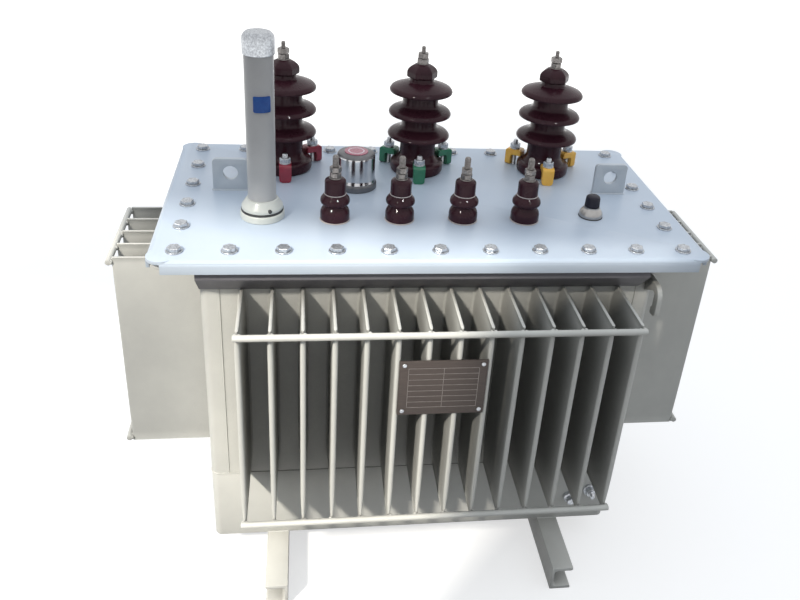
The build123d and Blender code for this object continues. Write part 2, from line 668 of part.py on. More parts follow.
def build():
    """Every piece by the name of its node."""
    turn_round = Rot(0, 0, 180)
    on_cover = Pos(0, 0, COVER_TOP)
    nodes = {
        "tank_tray": tray(),
        "front_corrugated_wall": front_wall(),
        "back_corrugated_wall": turn_round * front_wall(),
        "right_corrugated_wall": right_wall(),
        "left_corrugated_wall": turn_round * right_wall(),
        "tank_rim": rim(),
        "cover_gasket": gasket(),
        "tank_cover": cover(),
        "right_foot": foot(),
        "left_foot": turn_round * foot(),
    }
    front_span = (FRONT_FINS - 1) * FIN_PITCH + FIN_PINCH + 2 * BAR_OVERHANG
    side_span = (SIDE_FINS - 1) * FIN_PITCH + FIN_PINCH + 2 * BAR_OVERHANG
    front_reach = TANK_DEPTH / 2 + FRONT_FIN_DEPTH + BAR_DIAMETER / 2
    side_reach = TANK_LENGTH / 2 + SIDE_FIN_DEPTH + BAR_DIAMETER / 2
    nodes["front_fin_bars"] = fin_bars(front_span, -front_reach, bar_x)
    nodes["back_fin_bars"] = fin_bars(front_span, front_reach, bar_x)
    nodes["right_fin_bars"] = fin_bars(side_span, side_reach, bar_y)
    nodes["left_fin_bars"] = fin_bars(side_span, -side_reach, bar_y)

    for i in range(HV_COUNT):
        spot = Pos((i - (HV_COUNT - 1) / 2) * HV_PITCH, HV_Y, COVER_TOP)
        nodes[f"hv_bushing_{i + 1}"] = spot * hv_porcelain()
        nodes[f"hv_cap_{i + 1}"] = spot * hv_cap()
        nodes[f"hv_terminal_{i + 1}"] = spot * hv_terminal()
        nodes[f"hv_clamps_{i + 1}"] = spot * clamp_ring(CLAMP_TURN[i])
    for i in range(LV_COUNT):
        spot = Pos((i - (LV_COUNT - 1) / 2) * LV_PITCH, LV_Y, COVER_TOP)
        nodes[f"lv_bushing_{i + 1}"] = spot * lv_porcelain()
        nodes[f"lv_terminal_{i + 1}"] = spot * lv_terminal()

    level = Pos(LEVEL_X, LEVEL_Y, COVER_TOP)
    nodes["level_tube_foot"] = level * level_foot()
    nodes["level_tube"] = level * level_tube()
    nodes["level_tube_cap"] = level * level_cap()
    nodes["level_window"] = level * level_window()
    relief = Pos(RELIEF_X, RELIEF_Y, COVER_TOP)
    nodes["relief_valve_base"] = relief * relief_base()
    nodes["relief_valve_hood"] = relief * relief_body()
    thermometer = Pos(POCKET_X, POCKET_Y, COVER_TOP)
    nodes["thermometer_pocket"] = thermometer * pocket()
    nodes["thermometer_cap"] = thermometer * pocket_cap()

    nodes["right_lifting_lug"] = on_cover * Pos(RIGHT_LUG_X, LUG_Y, 0) * lifting_lug()
    nodes["left_lifting_lug"] = on_cover * Pos(LEFT_LUG_X, LUG_Y, 0) * lifting_lug()
    hook_spot = Pos(HOOK_X, -TANK_DEPTH / 2 - COLLAR_THICKNESS, RIM_BOTTOM - HOOK_BELOW_RIM)
    hook = hook_spot * tank_hook()
    nodes["tank_hooks"] = hook + turn_round * hook
    nodes["nameplate"] = nameplate()
    nodes["drain_plug"] = drain()
    nodes["earth_terminal"] = earth_terminal()
    return nodes


os.makedirs("parts", exist_ok=True)
for name, shape in build().items():
    export_step(shape, f"parts/{name}.step")
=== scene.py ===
import math
import random

import bmesh
import bpy
from mathutils import Matrix, Vector


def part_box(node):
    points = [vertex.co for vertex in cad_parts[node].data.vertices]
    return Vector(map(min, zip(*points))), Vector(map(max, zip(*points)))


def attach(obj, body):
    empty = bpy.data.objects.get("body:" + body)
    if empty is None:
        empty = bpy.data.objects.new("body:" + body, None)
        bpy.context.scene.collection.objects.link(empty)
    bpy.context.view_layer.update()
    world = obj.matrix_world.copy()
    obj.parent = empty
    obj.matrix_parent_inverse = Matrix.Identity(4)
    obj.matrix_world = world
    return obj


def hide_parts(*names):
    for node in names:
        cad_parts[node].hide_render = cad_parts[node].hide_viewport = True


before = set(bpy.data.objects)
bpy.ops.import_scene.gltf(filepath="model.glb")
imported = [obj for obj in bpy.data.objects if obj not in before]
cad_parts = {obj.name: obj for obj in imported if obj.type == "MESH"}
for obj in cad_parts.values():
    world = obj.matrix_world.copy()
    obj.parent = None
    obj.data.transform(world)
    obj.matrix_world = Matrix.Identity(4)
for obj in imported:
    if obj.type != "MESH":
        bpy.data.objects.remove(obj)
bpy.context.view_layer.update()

MM = 0.001
chance = random.Random(7)


# Camera and studio
# The camera stands where the photograph was taken from, over an even pale ground. A warm sun comes
# from the upper left: shades keep it off the cover and the right of the front, and a net softens it
# on the left end. The rest gets a cool sky. A second lamp gives gloss its sparks and nothing else.
CAMERA_PLACE = (-0.2004, -1.2874, 1.2130)
CAMERA_TURN = (62.122, -4.137, -7.832)
CAMERA_LENS = 37.88
CAMERA_SHIFT = (-0.0444, -0.0644)
SUN_PLACE = (-2, -1.5, 3)
SUN_RAY = (0.47, 0.57, -0.68)
SUN_STRENGTH = 4.1
SUN_SPREAD = 4
SUN_COLOUR = (1, 0.95, 0.86)
SPARK_PLACE = (1, -2, 3)
SPARK_RAY = (-0.25, 0.6, -0.76)
SPARK_STRENGTH = 2.0
SPARK_SPREAD = 3
SKY_COLOUR = (0.87, 0.93, 1, 1)
SKY_LOW = 0.2
SKY_HIGH = 1.22
SHADE_PLANE_Y = -0.182
SIDE_SHADE = ((0.095, -0.6), (2.5, -0.6), (2.5, 3), (0.41, 3), (0.41, 0.55), (0.157, 0.55))
TOP_SHADE = ((-2, 1.12), (0.164, 0.611), (0.41, 0.60), (0.41, 3), (-2, 3))
END_NET = ((-2.5, -0.8), (-0.47, -0.8), (-0.44, 0.1), (-0.35, 0.63), (-2.5, 0.66))
CORNER_SHADE = ((0.358, 0.48), (0.46, 0.48), (0.46, 0.603), (0.358, 0.603))
SHADE_AWAY = 1.3
NET_AWAY = 2.4
SHADES = (("side_shade", SIDE_SHADE, SHADE_AWAY), ("top_shade", TOP_SHADE, SHADE_AWAY),
          ("corner_shade", CORNER_SHADE, 0), ("end_net", END_NET, NET_AWAY))
NET_PASSES = (0.5, 0.5, 0.5, 1)
FLOOR_SIZE = 16
FLOOR_SEEN = (0.5, 0.5, 0.5, 1)
FLOOR_BOUNCE = (0.08, 0.08, 0.08, 1)
FLOOR_LIFT = 0.62

scene = bpy.context.scene
scene.view_settings.view_transform = "Standard"
bpy.ops.object.select_all(action="DESELECT")
turn = [math.radians(angle) for angle in CAMERA_TURN]
bpy.ops.object.camera_add(location=CAMERA_PLACE, rotation=turn)
camera = bpy.context.object
camera.data.lens = CAMERA_LENS
camera.data.shift_x, camera.data.shift_y = CAMERA_SHIFT
camera.data.clip_start = 0.01
scene.camera = camera

sun_turn = Vector(SUN_RAY).to_track_quat("-Z", "Y").to_euler()
bpy.ops.object.light_add(type="SUN", location=SUN_PLACE, rotation=sun_turn)
sun = bpy.context.object.data
sun.energy = SUN_STRENGTH
sun.color = SUN_COLOUR
sun.angle = math.radians(SUN_SPREAD)
spark_turn = Vector(SPARK_RAY).to_track_quat("-Z", "Y").to_euler()
bpy.ops.object.light_add(type="SUN", location=SPARK_PLACE, rotation=spark_turn)
spark = bpy.context.object
spark.data.energy = SPARK_STRENGTH
spark.data.angle = math.radians(SPARK_SPREAD)
spark.visible_diffuse = False

net_material = bpy.data.materials.new("net")
net_material.use_nodes = True
nodes, links = net_material.node_tree.nodes, net_material.node_tree.links
nodes.clear()
gauze = nodes.new("ShaderNodeBsdfTransparent")
gauze.inputs["Color"].default_value = NET_PASSES
output = nodes.new("ShaderNodeOutputMaterial")
links.new(gauze.outputs[0], output.inputs["Surface"])
for name, corners, away in SHADES:
    bpy.ops.object.select_all(action="DESELECT")
    bpy.ops.mesh.primitive_circle_add(vertices=len(corners), fill_type="NGON")
    shade = bpy.context.object
    shade.name = name
    for vertex, (x, z) in zip(shade.data.vertices, corners):
        vertex.co = Vector((x, SHADE_PLANE_Y, z)) - away * Vector(SUN_RAY).normalized()
    if corners is END_NET:
        shade.data.materials.append(net_material)
    shade.visible_camera = False
    shade.visible_diffuse = False
    shade.visible_glossy = False
    shade.visible_transmission = False


def seen_ray(nodes, links):
    """1 for the rays of the camera, of mirrors and of glass, and 0 for the rays that light things."""
    path = nodes.new("ShaderNodeLightPath")
    first = nodes.new("ShaderNodeMath")
    first.operation = "MAXIMUM"
    links.new(path.outputs["Is Camera Ray"], first.inputs[0])
    links.new(path.outputs["Is Glossy Ray"], first.inputs[1])
    both = nodes.new("ShaderNodeMath")
    both.operation = "MAXIMUM"
    links.new(first.outputs[0], both.inputs[0])
    links.new(path.outputs["Is Transmission Ray"], both.inputs[1])
    return both.outputs[0]


world = bpy.data.worlds.new("studio")
scene.world = world
world.use_nodes = True
nodes, links = world.node_tree.nodes, world.node_tree.links
nodes.clear()
lighting = nodes.new("ShaderNodeBackground")
lighting.inputs["Color"].default_value = SKY_COLOUR
place = nodes.new("ShaderNodeTexCoord")
split = nodes.new("ShaderNodeSeparateXYZ")
links.new(place.outputs["Generated"], split.inputs[0])
rise = nodes.new("ShaderNodeMapRange")
rise.inputs["To Min"].default_value = SKY_LOW
rise.inputs["To Max"].default_value = SKY_HIGH
links.new(split.outputs["Z"], rise.inputs["Value"])
links.new(rise.outputs["Result"], lighting.inputs["Strength"])
white = nodes.new("ShaderNodeBackground")
white.inputs["Color"].default_value = (1, 1, 1, 1)
mix = nodes.new("ShaderNodeMixShader")
links.new(seen_ray(nodes, links), mix.inputs["Fac"])
links.new(lighting.outputs[0], mix.inputs[1])
links.new(white.outputs[0], mix.inputs[2])
output = nodes.new("ShaderNodeOutputWorld")
links.new(mix.outputs[0], output.inputs["Surface"])

floor_material = bpy.data.materials.new("pale_floor")
floor_material.use_nodes = True
nodes, links = floor_material.node_tree.nodes, floor_material.node_tree.links
nodes.clear()
seen = seen_ray(nodes, links)
shade = nodes.new("ShaderNodeMix")
shade.data_type = "RGBA"
shade.inputs["A"].default_value = FLOOR_BOUNCE
shade.inputs["B"].default_value = FLOOR_SEEN
links.new(seen, shade.inputs["Factor"])
matt = nodes.new("ShaderNodeBsdfDiffuse")
links.new(shade.outputs["Result"], matt.inputs["Color"])
glow = nodes.new("ShaderNodeEmission")
lift = nodes.new("ShaderNodeMath")
lift.operation = "MULTIPLY"
lift.inputs[1].default_value = FLOOR_LIFT
links.new(seen, lift.inputs[0])
links.new(lift.outputs[0], glow.inputs["Strength"])
both = nodes.new("ShaderNodeAddShader")
links.new(matt.outputs[0], both.inputs[0])
links.new(glow.outputs[0], both.inputs[1])
output = nodes.new("ShaderNodeOutputMaterial")
links.new(both.outputs[0], output.inputs["Surface"])
bpy.ops.object.select_all(action="DESELECT")
bpy.ops.mesh.primitive_plane_add(size=FLOOR_SIZE)
studio_floor = bpy.context.object
studio_floor.name = "studio_floor"
studio_floor.data.materials.append(floor_material)


# Channel feet
# Two rolled steel channels under the tank, back to back, in the paint of the tank.
# The paint is a satin coat with a faint orange peel, a little uneven from spraying.
def add_socket(group, name, kind, direction, value=None):
    socket = group.interface.new_socket(name=name, in_out=direction, socket_type=kind)
    if value is not None:
        socket.default_value = value


def uneven_group():
    """Shader group: a colour that drifts to a second one in clouds, with fine grain as height."""
    group = bpy.data.node_groups.new("uneven_surface", "ShaderNodeTree")
    add_socket(group, "Colour", "NodeSocketColor", "INPUT")
    add_socket(group, "Second Colour", "NodeSocketColor", "INPUT")
    add_socket(group, "Cloud Scale", "NodeSocketFloat", "INPUT", 6)
    add_socket(group, "Grain Scale", "NodeSocketFloat", "INPUT", 400)
    add_socket(group, "Stretch", "NodeSocketVector", "INPUT", (1, 1, 1))
    add_socket(group, "Roughness", "NodeSocketFloat", "INPUT", 0.4)
    add_socket(group, "Roughness Spread", "NodeSocketFloat", "INPUT", 0.1)
    add_socket(group, "Dust", "NodeSocketFloat", "INPUT", 0)
    add_socket(group, "Dust Colour", "NodeSocketColor", "INPUT")
    add_socket(group, "Colour", "NodeSocketColor", "OUTPUT")
    add_socket(group, "Roughness", "NodeSocketFloat", "OUTPUT")
    add_socket(group, "Height", "NodeSocketFloat", "OUTPUT")
    nodes, links = group.nodes, group.links
    given = nodes.new("NodeGroupInput")
    place = nodes.new("ShaderNodeTexCoord")
    stretched = nodes.new("ShaderNodeVectorMath")
    stretched.operation = "MULTIPLY"
    links.new(place.outputs["Object"], stretched.inputs[0])
    links.new(given.outputs["Stretch"], stretched.inputs[1])
    clouds = nodes.new("ShaderNodeTexNoise")
    clouds.inputs["Detail"].default_value = 5
    clouds.inputs["Roughness"].default_value = 0.62
    links.new(stretched.outputs[0], clouds.inputs["Vector"])
    links.new(given.outputs["Cloud Scale"], clouds.inputs["Scale"])
    shaped = nodes.new("ShaderNodeMapRange")
    shaped.inputs["From Min"].default_value = 0.35
    shaped.inputs["From Max"].default_value = 0.7
    links.new(clouds.outputs["Fac"], shaped.inputs["Value"])
    tint = nodes.new("ShaderNodeMix")
    tint.data_type = "RGBA"
    links.new(shaped.outputs["Result"], tint.inputs["Factor"])
    links.new(given.outputs["Colour"], tint.inputs["A"])
    links.new(given.outputs["Second Colour"], tint.inputs["B"])
    facing = nodes.new("ShaderNodeNewGeometry")
    split = nodes.new("ShaderNodeSeparateXYZ")
    links.new(facing.outputs["Normal"], split.inputs[0])
    upward = nodes.new("ShaderNodeMapRange")
    upward.inputs["From Min"].default_value = 0.55
    upward.inputs["From Max"].default_value = 1
    links.new(split.outputs["Z"], upward.inputs["Value"])
    settled = nodes.new("ShaderNodeMath")
    settled.operation = "MULTIPLY"
    links.new(upward.outputs["Result"], settled.inputs[0])
    links.new(given.outputs["Dust"], settled.inputs[1])
    patchy = nodes.new("ShaderNodeMath")
    patchy.operation = "MULTIPLY"
    links.new(settled.outputs[0], patchy.inputs[0])
    links.new(clouds.outputs["Fac"], patchy.inputs[1])
    dusty = nodes.new("ShaderNodeMix")
    dusty.data_type = "RGBA"
    links.new(patchy.outputs[0], dusty.inputs["Factor"])
    links.new(tint.outputs["Result"], dusty.inputs["A"])
    links.new(given.outputs["Dust Colour"], dusty.inputs["B"])
    grain = nodes.new("ShaderNodeTexNoise")
    grain.inputs["Detail"].default_value = 3
    links.new(stretched.outputs[0], grain.inputs["Vector"])
    links.new(given.outputs["Grain Scale"], grain.inputs["Scale"])
    spread = nodes.new("ShaderNodeMath")
    spread.operation = "MULTIPLY_ADD"
    links.new(clouds.outputs["Fac"], spread.inputs[0])
    links.new(given.outputs["Roughness Spread"], spread.inputs[1])
    links.new(given.outputs["Roughness"], spread.inputs[2])
    result = nodes.new("NodeGroupOutput")
    links.new(dusty.outputs["Result"], result.inputs["Colour"])
    links.new(spread.outputs[0], result.inputs["Roughness"])
    links.new(grain.outputs["Fac"], result.inputs["Height"])
    return group


UNEVEN = uneven_group()
# Painted shade in recesses: how far ambient occlusion looks, its samples, and the occlusion range that
# darkens a colour.
PAINTED_SHADE_REACH = 90 * MM
PAINTED_SHADE_SAMPLES = 6
PAINTED_SHADE_FROM, PAINTED_SHADE_TO = 0.15, 0.75


def finish(name, colour, second, rough, spread=0.1, clouds=6, grain=400, bump=0.05, depth=0.2,
           metal=0.0, coat=0.0, coat_rough=0.1, stretch=(1, 1, 1), dust=0.0,
           dust_colour=(0.55, 0.52, 0.46), specular=0.5, painted_shade=0.0):
    """Material of one finish: the uneven surface group, darkened in recesses by painted shade, feeding a
    principled shader.
    """
    material = bpy.data.materials.new(name)
    material.use_nodes = True
    nodes, links = material.node_tree.nodes, material.node_tree.links
    shader = nodes["Principled BSDF"]
    uneven = nodes.new("ShaderNodeGroup")
    uneven.node_tree = UNEVEN
    uneven.inputs["Colour"].default_value = (*colour, 1)
    uneven.inputs["Second Colour"].default_value = (*second, 1)
    uneven.inputs["Cloud Scale"].default_value = clouds
    uneven.inputs["Grain Scale"].default_value = grain
    uneven.inputs["Stretch"].default_value = stretch
    uneven.inputs["Roughness"].default_value = rough
    uneven.inputs["Roughness Spread"].default_value = spread
    uneven.inputs["Dust"].default_value = dust
    uneven.inputs["Dust Colour"].default_value = (*dust_colour, 1)
    relief = nodes.new("ShaderNodeBump")
    relief.inputs["Strength"].default_value = bump
    relief.inputs["Distance"].default_value = depth * MM
    links.new(uneven.outputs["Colour"], shader.inputs["Base Color"])
    # Painted shade: the colour is multiplied darker where ambient occlusion finds a recess.
    if painted_shade:
        recess = nodes.new("ShaderNodeAmbientOcclusion")
        recess.samples = PAINTED_SHADE_SAMPLES
        recess.inputs["Distance"].default_value = PAINTED_SHADE_REACH
        left = nodes.new("ShaderNodeMapRange")
        left.inputs["From Min"].default_value = PAINTED_SHADE_FROM
        left.inputs["From Max"].default_value = PAINTED_SHADE_TO
        left.inputs["To Min"].default_value = 1 - painted_shade
        links.new(recess.outputs["AO"], left.inputs["Value"])
        shade_darkened = nodes.new("ShaderNodeMix")
        shade_darkened.data_type = "RGBA"
        shade_darkened.blend_type = "MULTIPLY"
        shade_darkened.inputs["Factor"].default_value = 1
        links.new(uneven.outputs["Colour"], shade_darkened.inputs["A"])
        links.new(left.outputs["Result"], shade_darkened.inputs["B"])
        links.new(shade_darkened.outputs["Result"], shader.inputs["Base Color"])
    links.new(uneven.outputs["Roughness"], shader.inputs["Roughness"])
    links.new(uneven.outputs["Height"], relief.inputs["Height"])
    links.new(relief.outputs["Normal"], shader.inputs["Normal"])
    shader.inputs["Metallic"].default_value = metal
    shader.inputs["Coat Weight"].default_value = coat
    shader.inputs["Coat Roughness"].default_value = coat_rough
    shader.inputs["Specular IOR Level"].default_value = specular
    return material


# The tank paint carries painted shade: its colour is darkened in recesses, most of all between the fins.
tank_paint = finish("tank_paint", (0.66, 0.655, 0.61), (0.59, 0.585, 0.55), rough=0.34, spread=0.12,
                    clouds=9, grain=900, bump=0.12, depth=0.25, dust=0.5, painted_shade=0.65)


def pick(piece, kind, test):
    """Select, in edit mode, the vertices, edges or faces whose middle passes a test."""
    bpy.ops.mesh.select_mode(type=kind)
    bpy.ops.mesh.select_all(action="DESELECT")
    mesh = bmesh.from_edit_mesh(piece.data)
    for item in {"VERT": mesh.verts, "EDGE": mesh.edges, "FACE": mesh.faces}[kind]:
        corners = [item] if kind == "VERT" else item.verts
        middle = sum((corner.co for corner in corners), Vector()) / len(corners)
        if test(middle):
            item.select_set(True)
    mesh.select_flush_mode()
    bmesh.update_edit_mesh(piece.data)


def alone(piece):
    """Make a piece the only one selected."""
    bpy.ops.object.select_all(action="DESELECT")
    piece.select_set(True)
    bpy.context.view_layer.objects.active = piece


def apply_modifiers(piece):
    alone(piece)
    for modifier in list(piece.modifiers):
        bpy.ops.object.modifier_apply(modifier=modifier.name)


def ease_edges(piece, width, segments=2, angle=35):
    """Round every sharp edge of a piece a little and shade it smooth between sharp edges."""
    bevel = piece.modifiers.new("ease", "BEVEL")
    bevel.width = width
    bevel.segments = segments
    bevel.limit_method = "ANGLE"
    bevel.angle_limit = math.radians(angle)
    bevel.use_clamp_overlap = True
    apply_modifiers(piece)
    bpy.ops.object.shade_smooth_by_angle(angle=math.radians(angle))


def eased_copy(node, name, width, segments=2):
    """Copy of a piece of the frame, its triangles merged into flats and its edges eased."""
    piece = bpy.data.objects.new(name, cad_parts[node].data.copy())
    scene.collection.objects.link(piece)
    alone(piece)
    bpy.ops.object.mode_set(mode="EDIT")
    bpy.ops.mesh.select_all(action="SELECT")
    bpy.ops.mesh.remove_doubles(threshold=0.00001)
    bpy.ops.mesh.dissolve_limited(angle_limit=math.radians(0.5))
    bpy.ops.object.mode_set(mode="OBJECT")
    ease_edges(piece, width, segments)
    return piece


def dress(piece, name, material, slot, *replaced):
    """Name a finished piece, give it its material, hang it under the root body and hide the frame parts it
    replaces.
    """
    piece.name = name
    piece.data.name = name
    piece.data.materials.clear()
    piece.data.materials.append(material)
    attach(piece, "root")
    if replaced:
        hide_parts(*replaced)


for side in ("left", "right"):
    foot = eased_copy(f"{side}_foot", f"{side}_channel_foot", 0.8 * MM)
    dress(foot, f"{side}_channel_foot", tank_paint, "tank_paint", f"{side}_foot")


# Tank tray
# The plain lower part of the tank, a welded tray of sheet steel that stands on the feet.
# A bead runs round its top, where the corrugated walls are welded on.
BEAD_STEP = 3 * MM
SEAM_BEAD = 1.5 * MM
FOOT_BEAD = 2.2 * MM


def bead(path, radius, closed=False):
    """Weld bead along a path of corners: a tube whose radius ripples as the weld was laid."""
    corners = [Vector(corner) for corner in path]
    if closed:
        corners.append(corners[0])
    points = []
    for start, end in zip(corners, corners[1:]):
        count = max(2, round((end - start).length / BEAD_STEP))
        points += [start.lerp(end, i / count) for i in range(count)]
    if not closed:
        points.append(corners[-1])
    curve = bpy.data.curves.new("bead", "CURVE")
    curve.dimensions = "3D"
    curve.bevel_depth = radius
    curve.bevel_resolution = 1
    curve.use_fill_caps = not closed
    line = curve.splines.new("POLY")
    line.points.add(len(points) - 1)
    line.use_cyclic_u = closed
    for i, (point, place) in enumerate(zip(line.points, points)):
        point.co = (*place, 1)
        point.radius = (1.0 if i % 2 else 0.82) * chance.uniform(0.93, 1.07)
    piece = bpy.data.objects.new("bead", curve)
    scene.collection.objects.link(piece)
    alone(piece)
    bpy.ops.object.convert(target="MESH")
    bpy.ops.object.shade_smooth()
    return bpy.context.object


def join(pieces, name):
    """Join pieces into one."""
    bpy.ops.object.select_all(action="DESELECT")
    for piece in pieces:
        piece.select_set(True)
    bpy.context.view_layer.objects.active = pieces[0]
    if len(pieces) > 1:
        bpy.ops.object.join()
    pieces[0].name = name
    return pieces[0]


def rounded_loop(half_x, half_y, corner, height, steps=6):
    """Corners of a rounded rectangle at one height."""
    loop = []
    for sx, sy, start in ((1, 1, 0), (-1, 1, 90), (-1, -1, 180), (1, -1, 270)):
        for i in range(steps + 1):
            angle = math.radians(start + 90 * i / steps)
            loop.append((
                sx * (half_x - corner) + corner * math.cos(angle),
                sy * (half_y - corner) + corner * math.sin(angle),
                height,
            ))
    return loop


tray_low, tray_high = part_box("tank_tray")
TANK_CORNER = 12 * MM
tray = eased_copy("tank_tray", "lower_tray", 1.0 * MM)
dress(tray, "lower_tray", tank_paint, "tank_paint", "tank_tray")
seam = bead(rounded_loop(tray_high.x, tray_high.y, TANK_CORNER, tray_high.z), SEAM_BEAD, closed=True)
dress(seam, "tray_seam_weld", tank_paint, "tank_paint")
foot_low, foot_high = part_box("right_foot")
foot_welds = []
for side in (-1, 1):
    for y in (tray_low.y + MM, tray_high.y - MM):
        run = [(side * foot_low.x, y, tray_low.z), (side * foot_high.x, y, tray_low.z)]
        foot_welds.append(bead(run, FOOT_BEAD))
dress(join(foot_welds, "foot_welds"), "foot_welds", tank_paint, "tank_paint")


# Corrugated walls
# Sheet steel folded into hollow fins, which carry the heat of the oil to the air.
# Each fin is pressed flat at its top and bottom and welded shut along the edge.
FIN_PITCH = 45 * MM
FIN_THICKNESS = 8.5 * MM
FIN_PINCH = 3.4 * MM
PINCH_TOP = 30 * MM
PINCH_BOTTOM = 62 * MM
FIN_BOTTOM = tray_high.z + 3 * MM
FIN_TOP = 556 * MM
ROOT_FLARE = 4 * MM
FLARE_RINGS = ((0, 1.9), (ROOT_FLARE * 0.35, 1.25))
TIP_ROUND = FIN_THICKNESS * 0.46
SHEET = 3 * MM
FRONT_FINS = 14
SIDE_FINS = 5
SEAM_RIDGE = 0.9 * MM
RIDGE_WIDENS = (1.35, 0.5)
CORNER_BEAD = 1.3 * MM


def swelling(share):
    """Thickness of a fin, as a share of its full one, on the way up from its pinched end."""
    pinch = FIN_PINCH / FIN_THICKNESS
    return pinch + (1 - pinch) * math.sin(share * math.pi / 2)


def make_fin(depth):
    """One fin that stands out towards -Y from Y = 0."""
    bpy.ops.object.select_all(action="DESELECT")
    bpy.ops.mesh.primitive_cube_add(size=1, location=(0, -depth / 2, (FIN_BOTTOM + FIN_TOP) / 2))
    fin = bpy.context.object
    fin.scale = (FIN_THICKNESS, depth, FIN_TOP - FIN_BOTTOM)
    bpy.ops.object.transform_apply(location=True, rotation=True, scale=True)
    bpy.ops.object.mode_set(mode="EDIT")
    pick(fin, "EDGE", lambda at: at.y < MM - depth and abs(at.x) > FIN_THICKNESS * 0.4)
    bpy.ops.mesh.bevel(offset=TIP_ROUND, segments=5, profile=0.5)
    levels = []
    for share in (0.3, 0.6, 1.0):
        levels.append((FIN_BOTTOM + PINCH_BOTTOM * share, swelling(share)))
        levels.append((FIN_TOP - PINCH_TOP * share, swelling(share)))
    for height, _ in levels:
        bpy.ops.mesh.select_all(action="SELECT")
        bpy.ops.mesh.bisect(plane_co=(0, 0, height), plane_no=(0, 0, 1))
    for distance in (ROOT_FLARE, FLARE_RINGS[1][0]):
        bpy.ops.mesh.select_all(action="SELECT")
        bpy.ops.mesh.bisect(plane_co=(0, -distance, 0), plane_no=(0, 1, 0))
    for distance, flare in FLARE_RINGS:
        pick(fin, "VERT", lambda at: abs(at.y + distance) < 0.1 * MM)
        bpy.ops.transform.resize(value=(flare, 1, 1), center_override=(0, 0, 0))
    ends = [(FIN_BOTTOM, FIN_PINCH / FIN_THICKNESS), (FIN_TOP, FIN_PINCH / FIN_THICKNESS)]
    for height, share in levels + ends:
        pick(fin, "VERT", lambda at: abs(at.z - height) < 0.1 * MM)
        bpy.ops.transform.resize(value=(share, 1, 1), center_override=(0, 0, height))
    for height, way in ((FIN_TOP, 1), (FIN_BOTTOM, -1)):
        pick(fin, "FACE", lambda at: abs(at.z - height) < 0.1 * MM)
        for widen in RIDGE_WIDENS:
            step = (0, 0, way * SEAM_RIDGE)
            bpy.ops.mesh.extrude_region_move(TRANSFORM_OT_translate={"value": step})
            bpy.ops.transform.resize(value=(widen, 1, 1), center_override=(0, 0, height))
    bpy.ops.object.mode_set(mode="OBJECT")
    bpy.ops.object.shade_smooth_by_angle(angle=math.radians(40))
    return fin


def copies(master, matrices):
    """Copies of a piece, each with a mesh of its own, moved by its matrix."""
    made = []
    for matrix in matrices:
        piece = bpy.data.objects.new(master.name, master.data.copy())
        scene.collection.objects.link(piece)
        piece.data.transform(matrix)
        made.append(piece)
    return made


def drop(piece):
    bpy.data.objects.remove(piece)


def fin_places(count, distance, angle):
    """Where each fin of a row goes, for a wall at some distance from the middle."""
    around = Matrix.Rotation(math.radians(angle), 4, "Z")
    return [
        around @ Matrix.Translation(((i - (count - 1) / 2) * FIN_PITCH, -distance, 0))
        for i in range(count)
    ]


def flat_sheet(low, high):
    """Plain sheet between two corners."""
    bpy.ops.object.select_all(action="DESELECT")
    bpy.ops.mesh.primitive_cube_add(size=1, location=(Vector(low) + Vector(high)) / 2)
    sheet = bpy.context.object
    sheet.scale = Vector(high) - Vector(low)
    bpy.ops.object.transform_apply(location=True, rotation=True, scale=True)
    return sheet


def end_sheet(outer, inner, half, low, high):
    """End sheet with both long edges bent round the corners of the tank, on the +X side."""
    sheet = flat_sheet((inner, -half, low), (outer, half, high))
    bpy.ops.object.mode_set(mode="EDIT")
    pick(sheet, "EDGE", lambda at: at.x > outer - MM and abs(at.y) > half - MM and low < at.z < high)
    bpy.ops.mesh.bevel(offset=TANK_CORNER, segments=8, profile=0.5)
    pick(sheet, "FACE", lambda at: at.x < inner + MM or at.z < low + MM or at.z > high - MM)
    bpy.ops.mesh.delete(type="FACE")
    bpy.ops.object.mode_set(mode="OBJECT")
    thick = sheet.modifiers.new("thickness", "SOLIDIFY")
    thick.thickness = SHEET
    thick.offset = -1
    apply_modifiers(sheet)
    bpy.ops.object.shade_smooth_by_angle(angle=math.radians(40))
    return sheet


wall_low, wall_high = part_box("front_corrugated_wall")
end_low, end_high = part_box("right_corrugated_wall")
front_depth = -tray_high.y - wall_low.y
side_depth = end_high.x - tray_high.x
front_fin = make_fin(front_depth)
side_fin = make_fin(side_depth)
for angle, name in ((0, "front_corrugated_wall"), (180, "back_corrugated_wall")):
    sheet = flat_sheet((wall_low.x, wall_high.y - SHEET, wall_low.z), wall_high)
    sheet.data.transform(Matrix.Rotation(math.radians(angle), 4, "Z"))
    fins = copies(front_fin, fin_places(FRONT_FINS, tray_high.y, angle))
    wall = join([sheet] + fins, name)
    dress(wall, name.replace("corrugated", "finned"), tank_paint, "tank_paint", name)
for angle, name in ((90, "right_corrugated_wall"), (-90, "left_corrugated_wall")):
    sheet = end_sheet(tray_high.x, wall_high.x, tray_high.y, end_low.z, end_high.z)
    sheet.data.transform(Matrix.Rotation(math.radians(angle - 90), 4, "Z"))
    fins = copies(side_fin, fin_places(SIDE_FINS, tray_high.x, angle))
    wall = join([sheet] + fins, name)
    dress(wall, name.replace("corrugated", "finned"), tank_paint, "tank_paint", name)
drop(front_fin)
drop(side_fin)
corner_welds = []
collar_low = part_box("tank_rim")[0].z
for x in (wall_low.x, wall_high.x):
    for y in (tray_low.y, tray_high.y):
        corner_welds.append(bead([(x, y, tray_high.z), (x, y, collar_low)], CORNER_BEAD))
dress(join(corner_welds, "corner_welds"), "corner_seam_welds", tank_paint, "tank_paint")


# Fin bars
# Round bars across the tips of the fins, top and bottom, that keep the fins apart.
# Each bar is tacked to every fin with a dab of weld on both sides of the fin.
BAR_RADIUS = 5 * MM
DAB_SIZE = (3.4 * MM, 3.0 * MM, 4.2 * MM)
DAB_ASIDE = 2.6 * MM
DAB_BEHIND = 4.2 * MM
DAB_STRAY = 1.5 * MM
DAB_LEAN = 0.5


